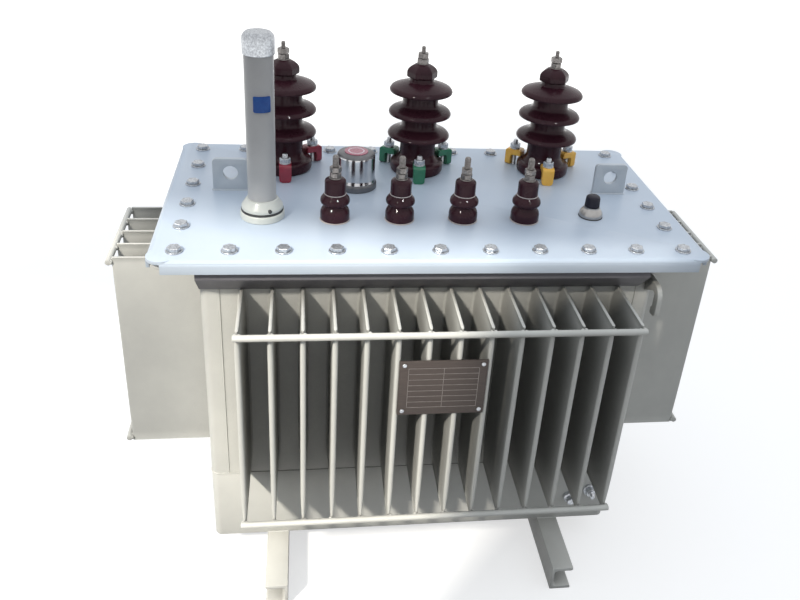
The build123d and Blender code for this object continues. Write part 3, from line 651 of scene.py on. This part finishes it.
def make_dab():
    """Small uneven lump of weld."""
    bpy.ops.object.select_all(action="DESELECT")
    bpy.ops.mesh.primitive_ico_sphere_add(subdivisions=2, radius=1)
    dab = bpy.context.object
    dab.scale = DAB_SIZE
    bpy.ops.object.transform_apply(location=True, rotation=True, scale=True)
    bpy.ops.object.mode_set(mode="EDIT")
    bpy.ops.mesh.select_all(action="SELECT")
    bpy.ops.transform.vertex_random(offset=0.35 * MM, seed=3)
    bpy.ops.object.mode_set(mode="OBJECT")
    bpy.ops.object.shade_smooth()
    return dab


dab = make_dab()
for name, count, angle in (("front_fin_bars", FRONT_FINS, 0), ("right_fin_bars", SIDE_FINS, 90),
                           ("back_fin_bars", FRONT_FINS, 180), ("left_fin_bars", SIDE_FINS, -90)):
    low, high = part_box(name)
    long_side = max(high.x - low.x, high.y - low.y)
    reach = max(abs(low.x), abs(high.x)) if count == SIDE_FINS else max(abs(low.y), abs(high.y))
    reach -= BAR_RADIUS
    around = Matrix.Rotation(math.radians(angle), 4, "Z")
    parts = []
    for height in (low.z + BAR_RADIUS, high.z - BAR_RADIUS):
        bpy.ops.object.select_all(action="DESELECT")
        bpy.ops.mesh.primitive_cylinder_add(vertices=28, radius=BAR_RADIUS, depth=long_side)
        bar = bpy.context.object
        bar.data.transform(Matrix.Rotation(math.radians(90), 4, "Y"))
        ease_edges(bar, 0.9 * MM)
        bar.data.transform(around @ Matrix.Translation((0, -reach, height)))
        parts.append(bar)
        spots = []
        for i in range(count):
            x = (i - (count - 1) / 2) * FIN_PITCH
            for side in (-1, 1):
                lean = Matrix.Rotation(chance.uniform(-DAB_LEAN, DAB_LEAN), 4, "Y")
                stray = chance.uniform(-DAB_STRAY, DAB_STRAY)
                spot = (x + side * DAB_ASIDE, DAB_BEHIND - reach, height + stray)
                spots.append(around @ Matrix.Translation(spot) @ lean)
        parts += copies(dab, spots)
    dress(join(parts, name), f"{name}_with_welds", tank_paint, "tank_paint", name)
drop(dab)


# Rim and gasket
# A flat flange round the top of the tank with a collar below it, both welded to the walls.
# A folded skirt slopes from the flange in to each long wall, up to the hook; its dark colour is painted
# shade.
# A sheet of oil-proof rubber seals the cover on the flange.
SKIRT_END = 355 * MM
SKIRT_HOOK_END = 328 * MM
SKIRT_FOLD = 590 * MM
SKIRT_LOW = 554 * MM
FLANGE_THICKNESS = 8 * MM
SKIRT_FOOT = 3.5 * MM
rim = eased_copy("tank_rim", "tank_flange", 0.9 * MM)
dress(rim, "tank_flange", tank_paint, "tank_paint", "tank_rim")
rim_low, rim_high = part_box("tank_rim")
# Painted shade: a dark colour for the skirt stands in for the shadow under the cover's edge, and it is
# darkened in recesses as well.
skirt_painted_shade = finish("skirt_painted_shade", (0.17, 0.165, 0.18), (0.15, 0.145, 0.16), rough=0.45, clouds=14,
                     grain=900, bump=0.12, depth=0.25, painted_shade=0.4, specular=0.3)
for angle, name in ((0, "front_skirt"), (180, "back_skirt")):
    skirt = flat_sheet((-SKIRT_END, rim_low.y + MM, SKIRT_LOW),
                       (SKIRT_HOOK_END, tray_low.y + MM, rim_high.z - FLANGE_THICKNESS))
    bpy.ops.object.mode_set(mode="EDIT")
    bpy.ops.mesh.select_all(action="SELECT")
    bpy.ops.mesh.bisect(plane_co=(0, 0, SKIRT_FOLD), plane_no=(0, 0, 1))
    pick(skirt, "VERT", lambda at: at.z < SKIRT_LOW + MM and at.y < rim_low.y + 2 * MM)
    slope = (0, tray_low.y - SKIRT_FOOT - rim_low.y, 0)
    bpy.ops.transform.translate(value=slope)
    bpy.ops.object.mode_set(mode="OBJECT")
    ease_edges(skirt, 1.2 * MM)
    skirt.data.transform(Matrix.Rotation(math.radians(angle), 4, "Z"))
    dress(skirt, name, skirt_painted_shade, "tank_paint")
tank_rubber = finish("tank_rubber", (0.035, 0.035, 0.037), (0.06, 0.06, 0.058), rough=0.62, clouds=30,
                     grain=1500, bump=0.25, depth=0.1)
gasket = eased_copy("cover_gasket", "rubber_gasket", 0.5 * MM)
dress(gasket, "rubber_gasket", tank_rubber, "gasket", "cover_gasket")


# Cover
# Pressed plate with its edges turned down over the rim and its corners left open.
# It has a paler, slightly blue satin paint.
cover_paint = finish("cover_paint", (0.58, 0.65, 0.74), (0.53, 0.61, 0.71), rough=0.3, spread=0.1,
                     clouds=5, grain=800, bump=0.1, depth=0.25)
cover = eased_copy("tank_cover", "pressed_cover", 0.7 * MM)
dress(cover, "pressed_cover", cover_paint, "cover_paint", "tank_cover")
COVER_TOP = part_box("tank_cover")[1].z


# Cover bolts
# Thirty plated M12 bolts through the cover, gasket and rim, with wide washers under the heads
# and nuts under the rim. Turned at random, as they came to rest when tightened.
BOLT_ROW_Y = 197 * MM
BOLT_ROW_X = 383.5 * MM
LONG_BOLTS = 11
SHORT_BOLTS = 6
WASHER_RADIUS = 12.3 * MM
WASHER_THICKNESS = 2.2 * MM
HEX_RADIUS = 10.4 * MM
HEAD_HEIGHT = 5.4 * MM
NUT_HEIGHT = 10 * MM
BOLT_RADIUS = 6 * MM
BOLT_END = 7 * MM


def eased(corners, steps=4):
    """Profile through (radius, height, ease) corners, each rounded over the length of its ease."""
    points = []
    last = len(corners) - 1
    for i, (radius, height, ease) in enumerate(corners):
        corner = Vector((radius, height))
        if ease == 0 or i in (0, last):
            points.append(corner)
            continue
        back = Vector(corners[i - 1][:2]) - corner
        ahead = Vector(corners[i + 1][:2]) - corner
        reach = min(ease, back.length * 0.49, ahead.length * 0.49)
        start = corner + back.normalized() * reach
        end = corner + ahead.normalized() * reach
        for step in range(steps + 1):
            share = step / steps
            points.append(start.lerp(corner, share).lerp(corner.lerp(end, share), share))
    return points


def turned(corners, sides=64, steps=4):
    """Turned piece in millimetres: a disc drawn up, ring by ring, through an eased profile."""
    points = eased(corners, steps)
    bpy.ops.object.select_all(action="DESELECT")
    radius, height = points[0]
    bpy.ops.mesh.primitive_circle_add(vertices=sides, radius=radius * MM, fill_type="NGON",
                                      location=(0, 0, height * MM))
    piece = bpy.context.object
    bpy.ops.object.transform_apply(location=True, rotation=True, scale=True)
    bpy.ops.object.mode_set(mode="EDIT")
    bpy.ops.mesh.select_all(action="SELECT")
    for next_radius, next_height in points[1:]:
        rise = (0, 0, (next_height - height) * MM)
        bpy.ops.mesh.extrude_region_move(TRANSFORM_OT_translate={"value": rise})
        scale = next_radius / radius
        bpy.ops.transform.resize(value=(scale, scale, 1), center_override=(0, 0, next_height * MM))
        radius, height = next_radius, next_height
    bpy.ops.mesh.select_all(action="SELECT")
    bpy.ops.mesh.normals_make_consistent(inside=False)
    bpy.ops.object.mode_set(mode="OBJECT")
    bpy.ops.object.shade_smooth_by_angle(angle=math.radians(38))
    return piece


def moved(piece, x=0.0, y=0.0, z=0.0, turn=0.0, tip=0.0):
    """Tip a piece about X, turn it about Z and move it, all in its mesh."""
    turning = Matrix.Rotation(math.radians(turn), 4, "Z") @ Matrix.Rotation(math.radians(tip), 4, "X")
    piece.data.transform(Matrix.Translation((x, y, z)) @ turning)
    return piece


def hexagon(flats, bottom, top, chamfer=0.9):
    """Hexagon nut or bolt head in millimetres, chamfered at its top."""
    radius = flats / math.sqrt(3)
    corners = [(radius * 0.95, bottom, 0), (radius, bottom + chamfer / 2, 0)]
    corners += [(radius, top - chamfer, 0), (radius * 0.91, top, 0)]
    return turned(corners, sides=6)


def threaded(radius, bottom, top, pitch=1.75):
    """Threaded stud end in millimetres, with a chamfered tip."""
    core = radius * 0.9
    corners = [(core, bottom, 0)]
    turns = int((top - bottom - 1) / pitch)
    for i in range(turns):
        start = bottom + i * pitch
        corners += [(core, start + 0.1, 0), (radius, start + pitch / 2, 0)]
    corners += [(core, bottom + turns * pitch + 0.1, 0), (core * 0.8, top, 0)]
    return turned(corners, sides=32)


def washer(radius, bottom, top):
    """Flat round washer in millimetres."""
    return turned([(radius - 0.3, bottom, 0), (radius, bottom + 0.3, 0), (radius, top - 0.5, 0.3),
                   (radius - 0.5, top, 0)], sides=36)


zinc = finish("zinc_plate", (0.66, 0.69, 0.72), (0.30, 0.31, 0.34), rough=0.28, spread=0.2, clouds=380,
              grain=2500, bump=0.12, depth=0.08, metal=0.9)
NUT_WASHER = 1.8
under_rim = (rim_high.z - FLANGE_THICKNESS - COVER_TOP) / MM
under_nut = under_rim - NUT_WASHER - NUT_HEIGHT / MM
bolt = join([
    washer(WASHER_RADIUS / MM, 0, WASHER_THICKNESS / MM),
    hexagon(2 * HEX_RADIUS / MM * math.cos(math.pi / 6), WASHER_THICKNESS / MM,
            (WASHER_THICKNESS + HEAD_HEIGHT) / MM),
    washer(WASHER_RADIUS / MM - 1.5, under_rim - NUT_WASHER, under_rim),
    hexagon(18, under_nut, under_rim - NUT_WASHER),
    moved(threaded(BOLT_RADIUS / MM, 0, BOLT_END / MM), tip=180, z=under_nut * MM),
], "bolt")
places = []
for i in range(LONG_BOLTS):
    x = (2 * i / (LONG_BOLTS - 1) - 1) * BOLT_ROW_X
    places += [(x, -BOLT_ROW_Y), (x, BOLT_ROW_Y)]
for i in range(1, SHORT_BOLTS - 1):
    y = (2 * i / (SHORT_BOLTS - 1) - 1) * BOLT_ROW_Y
    places += [(-BOLT_ROW_X, y), (BOLT_ROW_X, y)]
spots = [
    Matrix.Translation((x, y, COVER_TOP)) @ Matrix.Rotation(chance.uniform(0, math.pi / 3), 4, "Z")
    for x, y in places
]
bolts = join(copies(bolt, spots), "cover_bolts")
drop(bolt)
dress(bolts, "cover_bolts", zinc, "plated_steel")


# High-voltage bushings
# Turned porcelain with three wide drooping sheds, dipped in a dark brown glaze and fired.
# A hexagonal porcelain cap closes the top, and a plated stud and nuts carry the line.
HV_PLACES = [((i - 1) * 234.7 * MM, 118 * MM) for i in range(3)]
HV_SHEDS = [65.5, 105.5, 145.5]
HV_TOP = 170
HV_CAP_TOP = 194
glaze = finish("brown_glaze", (0.036, 0.011, 0.017), (0.054, 0.017, 0.024), rough=0.2, spread=0.15,
               clouds=22, grain=260, bump=0.25, depth=0.4, coat=0.1, coat_rough=0.05, specular=0.13)
aged_zinc = finish("aged_zinc", (0.30, 0.28, 0.27), (0.13, 0.12, 0.115), rough=0.27, spread=0.2,
                   clouds=280, grain=2500, bump=0.15, depth=0.08, metal=0.8)
hv_profile = [(43, 0, 0), (45, 0.5, 1), (47, 4, 2.5), (47, 17, 2), (44, 20.5, 3), (38, 21.2, 4),
              (31.5, 30, 7)]
for edge in HV_SHEDS:
    hv_profile += [(31, edge + 5, 4), (52.2, edge + 2.2, 2), (54.2, edge, 0.8), (55, edge + 3.2, 2.5),
                   (51.5, edge + 8.2, 8), (31, edge + 15.5, 7)]
hv_profile += [(21.3, HV_TOP - 6.5, 3), (21, HV_TOP + 0.5, 0)]
cap_profile = [(23, HV_TOP, 0), (26.2, HV_TOP + 1, 1), (27, HV_TOP + 3, 1), (27, HV_TOP + 13, 4),
               (20.5, HV_TOP + 20, 6), (12, HV_CAP_TOP, 0)]
for i, (x, y) in enumerate(HV_PLACES, 1):
    body = moved(turned(hv_profile, sides=72), x, y, COVER_TOP)
    dress(body, f"hv_porcelain_{i}", glaze, "porcelain", f"hv_bushing_{i}")
    cap = turned(cap_profile, sides=6)
    ease = cap.modifiers.new("ease", "BEVEL")
    ease.width = 1.8 * MM
    ease.segments = 3
    ease.limit_method = "ANGLE"
    ease.angle_limit = math.radians(30)
    apply_modifiers(cap)
    bpy.ops.object.shade_smooth_by_angle(angle=math.radians(45))
    moved(cap, x, y, COVER_TOP, turn=30)
    dress(cap, f"hv_hexagonal_cap_{i}", glaze, "porcelain", f"hv_cap_{i}")
    terminal = join([
        washer(9.6, HV_CAP_TOP - 0.5, HV_CAP_TOP + 1.4),
        hexagon(17, HV_CAP_TOP + 1.4, HV_CAP_TOP + 9.6),
        moved(hexagon(17, HV_CAP_TOP + 10.4, HV_CAP_TOP + 19), turn=20),
        threaded(3.5, HV_CAP_TOP + 15, HV_CAP_TOP + 30, pitch=1.25),
    ], f"hv_terminal_nuts_{i}")
    moved(terminal, x, y, COVER_TOP, turn=15 * i)
    dress(terminal, terminal.name, aged_zinc, "plated_steel", f"hv_terminal_{i}")


# Bushing clamps
# Arched castings in red, green and yellow enamel, one colour for each phase.
# The nose of each presses on the porcelain foot, the leg stands on the cover.
CLAW_WIDTH = 20.5
CLAW_INNER = 41
CLAW_OUTER = 71
CLAW_TOP = 31
CLAW_ARCH = 20.5
CLAW_NOSE = 7
CLAW_LEG = 10
CLAW_LAP = 21
CLAW_STUD = 57
CLAWS = 3
CLAW_TURNS = (-88, -93, -96)
enamels = [
    finish("red_enamel", (0.36, 0.025, 0.05), (0.28, 0.018, 0.04), rough=0.26, clouds=60, grain=700,
           bump=0.3, depth=0.3, coat=0.4),
    finish("green_enamel", (0.025, 0.22, 0.11), (0.018, 0.16, 0.08), rough=0.26, clouds=60, grain=700,
           bump=0.3, depth=0.3, coat=0.4),
    finish("yellow_enamel", (1.0, 0.56, 0.08), (0.95, 0.48, 0.06), rough=0.26, clouds=60, grain=700,
           bump=0.3, depth=0.3, coat=0.4),
]


def make_claw():
    """Arched claw that lies along X: a top block whose nose and leg are drawn down from below."""
    claw = flat_sheet((CLAW_INNER * MM, -CLAW_WIDTH / 2 * MM, CLAW_ARCH * MM),
                      (CLAW_OUTER * MM, CLAW_WIDTH / 2 * MM, CLAW_TOP * MM))
    bpy.ops.object.mode_set(mode="EDIT")
    for x in (CLAW_INNER + CLAW_NOSE, CLAW_OUTER - CLAW_LEG):
        bpy.ops.mesh.select_all(action="SELECT")
        bpy.ops.mesh.bisect(plane_co=(x * MM, 0, 0), plane_no=(1, 0, 0))
    pick(claw, "FACE", lambda at: at.z < (CLAW_ARCH + 0.1) * MM and at.x < (CLAW_INNER + CLAW_NOSE) * MM)
    drop_nose = (0, 0, (CLAW_LAP - CLAW_ARCH) * MM)
    bpy.ops.mesh.extrude_region_move(TRANSFORM_OT_translate={"value": drop_nose})
    pick(claw, "FACE", lambda at: at.z < (CLAW_ARCH + 0.1) * MM and at.x > (CLAW_OUTER - CLAW_LEG) * MM)
    bpy.ops.mesh.extrude_region_move(TRANSFORM_OT_translate={"value": (0, 0, -CLAW_ARCH * MM)})
    pick(claw, "EDGE", lambda at: at.z > (CLAW_TOP - 1) * MM and abs(at.y) < MM
         and (at.x < (CLAW_INNER + 1) * MM or at.x > (CLAW_OUTER - 1) * MM))
    bpy.ops.mesh.bevel(offset=5 * MM, segments=5, profile=0.5)
    pick(claw, "EDGE", lambda at: abs(at.z - CLAW_ARCH * MM) < MM and abs(at.y) < MM
         and abs(at.x - (CLAW_OUTER - CLAW_LEG) * MM) < MM)
    bpy.ops.mesh.bevel(offset=5 * MM, segments=4, profile=0.5)
    pick(claw, "EDGE", lambda at: at.z < MM and abs(at.x - CLAW_OUTER * MM) < MM * 12
         and abs(at.y) > (CLAW_WIDTH / 2 - 0.5) * MM)
    bpy.ops.mesh.bevel(offset=6 * MM, segments=5, profile=0.5)
    bpy.ops.object.mode_set(mode="OBJECT")
    ease_edges(claw, 1.6 * MM, segments=3, angle=40)
    return claw


claw = make_claw()
clamp_bolt = join([
    threaded(4.5, 0, CLAW_TOP + 17, pitch=1.5),
    washer(9.6, CLAW_TOP, CLAW_TOP + 2.4),
    hexagon(16, CLAW_TOP + 2.4, CLAW_TOP + 10),
], "clamp_bolt")
moved(clamp_bolt, x=CLAW_STUD * MM)
for i, ((x, y), enamel, start) in enumerate(zip(HV_PLACES, enamels, CLAW_TURNS), 1):
    spots = [
        Matrix.Translation((x, y, COVER_TOP)) @ Matrix.Rotation(math.radians(start + 360 * k / CLAWS), 4, "Z")
        for k in range(CLAWS)
    ]
    colour = ("red", "green", "yellow")[i - 1]
    claws = join(copies(claw, spots), f"hv_clamp_claws_{i}")
    dress(claws, claws.name, enamel, f"{colour}_clamp", f"hv_clamps_{i}")
    studs = join(copies(clamp_bolt, spots), f"hv_clamp_bolts_{i}")
    dress(studs, studs.name, zinc, "plated_steel")
drop(claw)
drop(clamp_bolt)


# Low-voltage bushings
# Small porcelain insulators in the same glaze on pale seal rings, each with a dark collar,
# a washer, two nuts and a threaded stud for the cable lug.
LV_PLACES = [((i - 1.5) * 102.1 * MM, -90 * MM) for i in range(4)]
seal = finish("pale_seal", (0.62, 0.55, 0.52), (0.52, 0.47, 0.45), rough=0.6, clouds=80, grain=1200,
              bump=0.2, depth=0.15)
lv_profile = [(22, 1.6, 0), (23, 2.4, 1), (23, 17, 5.5), (16, 25.8, 3), (23, 29.6, 3), (23, 36.5, 4.5),
              (17, 43.6, 2), (16.5, 45.5, 0.5), (16.5, 67, 2.5), (12, 70, 0)]
for i, (x, y) in enumerate(LV_PLACES, 1):
    body = moved(turned(lv_profile, sides=56), x, y, COVER_TOP)
    dress(body, f"lv_porcelain_{i}", glaze, "porcelain", f"lv_bushing_{i}")
    rings = join([
        turned([(22.6, 0, 0), (23.8, 0.4, 0.4), (23.8, 1.4, 0.4), (22.6, 1.9, 0)], sides=56),
        turned([(16.4, 44, 0), (17.4, 44.4, 0.3), (17.4, 45.2, 0.3), (16.4, 45.6, 0)], sides=56),
    ], f"lv_seal_rings_{i}")
    moved(rings, x, y, COVER_TOP)
    dress(rings, rings.name, seal, "gasket")
    terminal = join([
        washer(10, 70, 72),
        hexagon(16, 72, 80),
        moved(hexagon(16, 81, 89), turn=15),
        threaded(5, 75, 107, pitch=2),
    ], f"lv_terminal_nuts_{i}")
    moved(terminal, x, y, COVER_TOP, turn=11 * i)
    dress(terminal, terminal.name, aged_zinc, "plated_steel", f"lv_terminal_{i}")


# Oil-level tube
# Painted tube that stands on a flanged foot, with a blue sight window near its top and a
# turned metal cap. A set screw in the foot and a dark seal hold the tube.
LEVEL_X, LEVEL_Y = -265 * MM, -79 * MM
SET_SCREW_TURN = 24
tube_paint = finish("tube_paint", (0.52, 0.51, 0.50), (0.46, 0.45, 0.445), rough=0.32, clouds=14, grain=900,
                    bump=0.12, depth=0.2)
foot_enamel = finish("foot_enamel", (0.66, 0.67, 0.62), (0.60, 0.61, 0.57), rough=0.25, clouds=25, grain=900,
                     bump=0.1, depth=0.2, coat=0.2)
foot = join([
    turned([(33, 0, 0), (34, 0.8, 0.6), (34, 10, 2.5), (31.5, 12, 0)], sides=72),
    turned([(31, 15, 0), (31.8, 15.3, 0.3), (32, 19.5, 3), (24, 31.5, 2), (22, 32, 0)], sides=72),
], "level_tube_flange")
moved(foot, LEVEL_X, LEVEL_Y, COVER_TOP)
dress(foot, "level_tube_flange", foot_enamel, "tube_paint", "level_tube_foot")
level_seal = moved(turned([(32.4, 11.6, 0), (32.4, 15.2, 0)], sides=64), LEVEL_X, LEVEL_Y, COVER_TOP)
dress(level_seal, "level_tube_seal", tank_rubber, "gasket")
screw = turned([(3, 0, 0), (3, 3, 0.6), (2.2, 3.6, 0)], sides=24)
moved(screw, y=-30 * MM, z=20 * MM, tip=90)
moved(screw, LEVEL_X, LEVEL_Y, COVER_TOP, turn=SET_SCREW_TURN)
dress(screw, "set_screw", tank_rubber, "gasket")
tube = turned([(21.5, 30, 0), (21.5, 90, 0), (21.5, 150, 0), (21.5, 210, 0), (21.5, 266, 0)], sides=72)
moved(tube, LEVEL_X, LEVEL_Y, COVER_TOP)
dress(tube, "level_tube_barrel", tube_paint, "tube_paint", "level_tube")
cap = turned([(22.6, 256, 0), (23.5, 256.6, 0.5), (23.5, 282, 5), (18, 288, 4), (14, 288, 0)], sides=72)
moved(cap, LEVEL_X, LEVEL_Y, COVER_TOP)
dress(cap, "level_tube_screw_cap", zinc, "plated_steel", "level_tube_cap")
window_blue = finish("window_blue", (0.015, 0.09, 0.34), (0.01, 0.06, 0.26), rough=0.3, clouds=90, grain=500,
                     bump=0.05, depth=0.1, coat=0.1, specular=0.25)
window = eased_copy("level_window", "level_sight_window", 0.8 * MM)
dress(window, "level_sight_window", window_blue, "window", "level_window")


# Pressure relief valve
# A chromed cup with a darker crown on a dull flange, with a round enamelled label on top.
RELIEF_X, RELIEF_Y = -114 * MM, 40 * MM
chrome = finish("chrome", (0.62, 0.62, 0.63), (0.52, 0.52, 0.53), rough=0.12, spread=0.08, clouds=50,
                grain=900, bump=0.04, depth=0.1, metal=1.0)
dull_flange = finish("dull_flange", (0.20, 0.20, 0.21), (0.15, 0.15, 0.16), rough=0.35, clouds=60, grain=900,
                     bump=0.1, depth=0.1, metal=0.8)
label_red = finish("label_red", (0.43, 0.075, 0.14), (0.36, 0.06, 0.115), rough=0.22, clouds=90, grain=900,
                   bump=0.05, depth=0.1, coat=0.6)
label_pale = finish("label_pale", (0.80, 0.62, 0.66), (0.76, 0.58, 0.62), rough=0.3, clouds=90, grain=900,
                    bump=0.05, depth=0.1)
base = turned([(34.6, 0, 0), (35.5, 0.8, 0.6), (35.5, 8, 1), (34.5, 11.5, 2), (32, 12, 0)], sides=80)
moved(base, RELIEF_X, RELIEF_Y, COVER_TOP)
dress(base, "relief_valve_flange", dull_flange, "chrome", "relief_valve_base")
hood = turned([(33.6, 12, 0), (34, 12.6, 0.4), (32.4, 17.5, 4), (32, 56, 1), (31.6, 58.2, 0)], sides=80)
moved(hood, RELIEF_X, RELIEF_Y, COVER_TOP)
dress(hood, "relief_valve_cup", chrome, "chrome", "relief_valve_hood")
crown = turned([(31.6, 58.2, 0), (30.4, 60.6, 3), (27, 61.6, 1), (20, 63, 0)], sides=80)
moved(crown, RELIEF_X, RELIEF_Y, COVER_TOP)
dress(crown, "relief_valve_crown", dull_flange, "chrome")
label = turned([(20, 62.4, 0), (20, 63.6, 0.3), (19.4, 63.9, 0.2), (12, 63.9, 0)], sides=72)
dress(moved(label, RELIEF_X, RELIEF_Y, COVER_TOP), "relief_valve_label", label_red, "red_clamp")
ring = turned([(14.2, 63.5, 0), (14, 64, 0.1), (11.4, 64, 0), (11.2, 63.7, 0), (2, 63.7, 0)], sides=72)
dress(moved(ring, RELIEF_X, RELIEF_Y, COVER_TOP), "relief_label_ring", label_pale, "red_clamp")


# Thermometer pocket
# A bulged metal flange in the cover on a black seal, closed by a black screw cap with a
# knurled rim.
POCKET_X, POCKET_Y = 270.5 * MM, -74 * MM
KNURLS = 28
KNURL_DEPTH = 0.945
KNURL_TOP = 34.5 * MM
black_plastic = finish("black_plastic", (0.010, 0.009, 0.018), (0.016, 0.015, 0.028), rough=0.35, clouds=80,
                       grain=1800, bump=0.15, depth=0.1, specular=0.3)
grey_metal = finish("grey_metal", (0.46, 0.45, 0.44), (0.36, 0.35, 0.345), rough=0.26, clouds=90, grain=1500,
                    bump=0.1, depth=0.1, metal=0.9)
neck = turned([(19, 1, 0), (19.5, 1.8, 0.6), (19.5, 6.5, 4), (16.5, 12, 3), (13.2, 15.4, 1.5), (13, 18, 0)],
              sides=56)
moved(neck, POCKET_X, POCKET_Y, COVER_TOP)
dress(neck, "thermometer_neck", grey_metal, "chrome", "thermometer_pocket")
pocket_seal = turned([(20, 0, 0), (20.2, 0.8, 0.4), (19.4, 1.6, 0)], sides=56)
dress(moved(pocket_seal, POCKET_X, POCKET_Y, COVER_TOP), "thermometer_seal", tank_rubber, "gasket")
cap = turned([(11.6, 18, 0), (12.4, 19, 0.6), (12.1, 26, 0), (11.5, 35, 2.5), (8, 37, 0)], sides=2 * KNURLS)
for corner in cap.data.vertices:
    around = round(math.atan2(corner.co.y, corner.co.x) / (math.pi / KNURLS))
    if around % 2 and corner.co.z < KNURL_TOP:
        corner.co.x *= KNURL_DEPTH
        corner.co.y *= KNURL_DEPTH
moved(cap, POCKET_X, POCKET_Y, COVER_TOP)
dress(cap, "thermometer_screw_cap", black_plastic, "black_cap", "thermometer_cap")


# Lifting lugs and tank hooks
# Two holed plates welded upright on the cover, in a greyer coat of its paint, and two hooks in
# the paint of the tank, welded to its collar.
LUG_BEAD = 2.2 * MM
lug_paint = finish("lug_paint", (0.60, 0.64, 0.68), (0.54, 0.58, 0.62), rough=0.34, spread=0.1, clouds=20,
                   grain=800, bump=0.12, depth=0.25)
lug_welds = []
for side in ("left", "right"):
    lug = eased_copy(f"{side}_lifting_lug", f"{side}_cover_lug", 0.8 * MM)
    dress(lug, f"{side}_cover_lug", lug_paint, "cover_paint", f"{side}_lifting_lug")
    low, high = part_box(f"{side}_lifting_lug")
    ring = [(low.x, low.y, low.z), (high.x, low.y, low.z), (high.x, high.y, low.z), (low.x, high.y, low.z)]
    lug_welds.append(bead(ring, LUG_BEAD, closed=True))
dress(join(lug_welds, "lug_welds"), "lug_welds", lug_paint, "cover_paint")
hooks = eased_copy("tank_hooks", "lifting_hooks", 0.8 * MM)
dress(hooks, "lifting_hooks", tank_paint, "tank_paint", "tank_hooks")


# Nameplate
# Brushed plate of darkened metal, held by a round rivet in each corner, with blank ruled fields.
plate_metal = finish("plate_metal", (0.06, 0.047, 0.043), (0.085, 0.068, 0.06), rough=0.5, spread=0.15,
                     clouds=60, grain=300, bump=0.3, depth=0.1, metal=0.3, stretch=(1, 1, 14))
plate = eased_copy("nameplate", "rating_plate", 0.5 * MM)
dress(plate, "rating_plate", plate_metal, "plate_metal", "nameplate")
plate_low, plate_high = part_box("nameplate")
RULE_INSET = 13 * MM
RULE_WIDTH = 0.8 * MM
RULE_RISE = 0.3 * MM
RULE_ROWS = 7
RULE_COLUMNS = 2
RIVET_INSET = 7 * MM
rule_metal = finish("rule_metal", (0.26, 0.235, 0.22), (0.18, 0.16, 0.15), rough=0.45, clouds=120, grain=900,
                    bump=0.1, depth=0.1, metal=0.5)
rule_low = plate_low + Vector((RULE_INSET, -RULE_RISE, RULE_INSET))
rule_high = plate_high - Vector((RULE_INSET, 0, RULE_INSET))
rule_high.y = plate_low.y
rules = []
for i in range(RULE_ROWS + 1):
    z = rule_low.z + (rule_high.z - rule_low.z) * i / RULE_ROWS
    rules.append(flat_sheet((rule_low.x, rule_low.y, z), (rule_high.x, rule_high.y, z + RULE_WIDTH)))
for i in range(RULE_COLUMNS + 1):
    x = rule_low.x + (rule_high.x - rule_low.x) * i / RULE_COLUMNS
    rules.append(flat_sheet((x, rule_low.y, rule_low.z), (x + RULE_WIDTH, rule_high.y, rule_high.z)))
dress(join(rules, "plate_rules"), "plate_rules", rule_metal, "plate_metal")
rivets = []
for x in (plate_low.x + RIVET_INSET, plate_high.x - RIVET_INSET):
    for z in (plate_low.z + RIVET_INSET, plate_high.z - RIVET_INSET):
        rivet = turned([(3.4, 0, 0), (3.4, 0.4, 0), (2.9, 1.4, 1.2), (1, 1.9, 0)], sides=24)
        rivets.append(moved(rivet, x, plate_low.y, z, tip=90))
dress(join(rivets, "plate_rivets"), "plate_rivets", zinc, "plated_steel")


# Drain plug and earth terminal
# A welded boss with a hexagon plug, and a welded pad with the stud and nut for the earth wire.
low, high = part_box("drain_plug")
middle = (low + high) / 2
drain = join([
    turned([(11, 0, 0), (11, 6.5, 1.5), (9, 8, 0)], sides=40),
    hexagon(13, 8, 17),
], "drain_fitting")
moved(drain, middle.x, high.y, middle.z, tip=90)
dress(drain, "drain_fitting", zinc, "plated_steel", "drain_plug")
low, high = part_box("earth_terminal")
middle = (low + high) / 2
earth = join([
    turned([(12, 0, 0), (12, 4, 1), (11, 5, 0)], sides=40),
    hexagon(16, 5, 13),
    threaded(5, 12, 23, pitch=1.5),
], "earth_stud")
moved(earth, middle.x, high.y, middle.z, tip=90)
dress(earth, "earth_stud", zinc, "plated_steel", "earth_terminal")
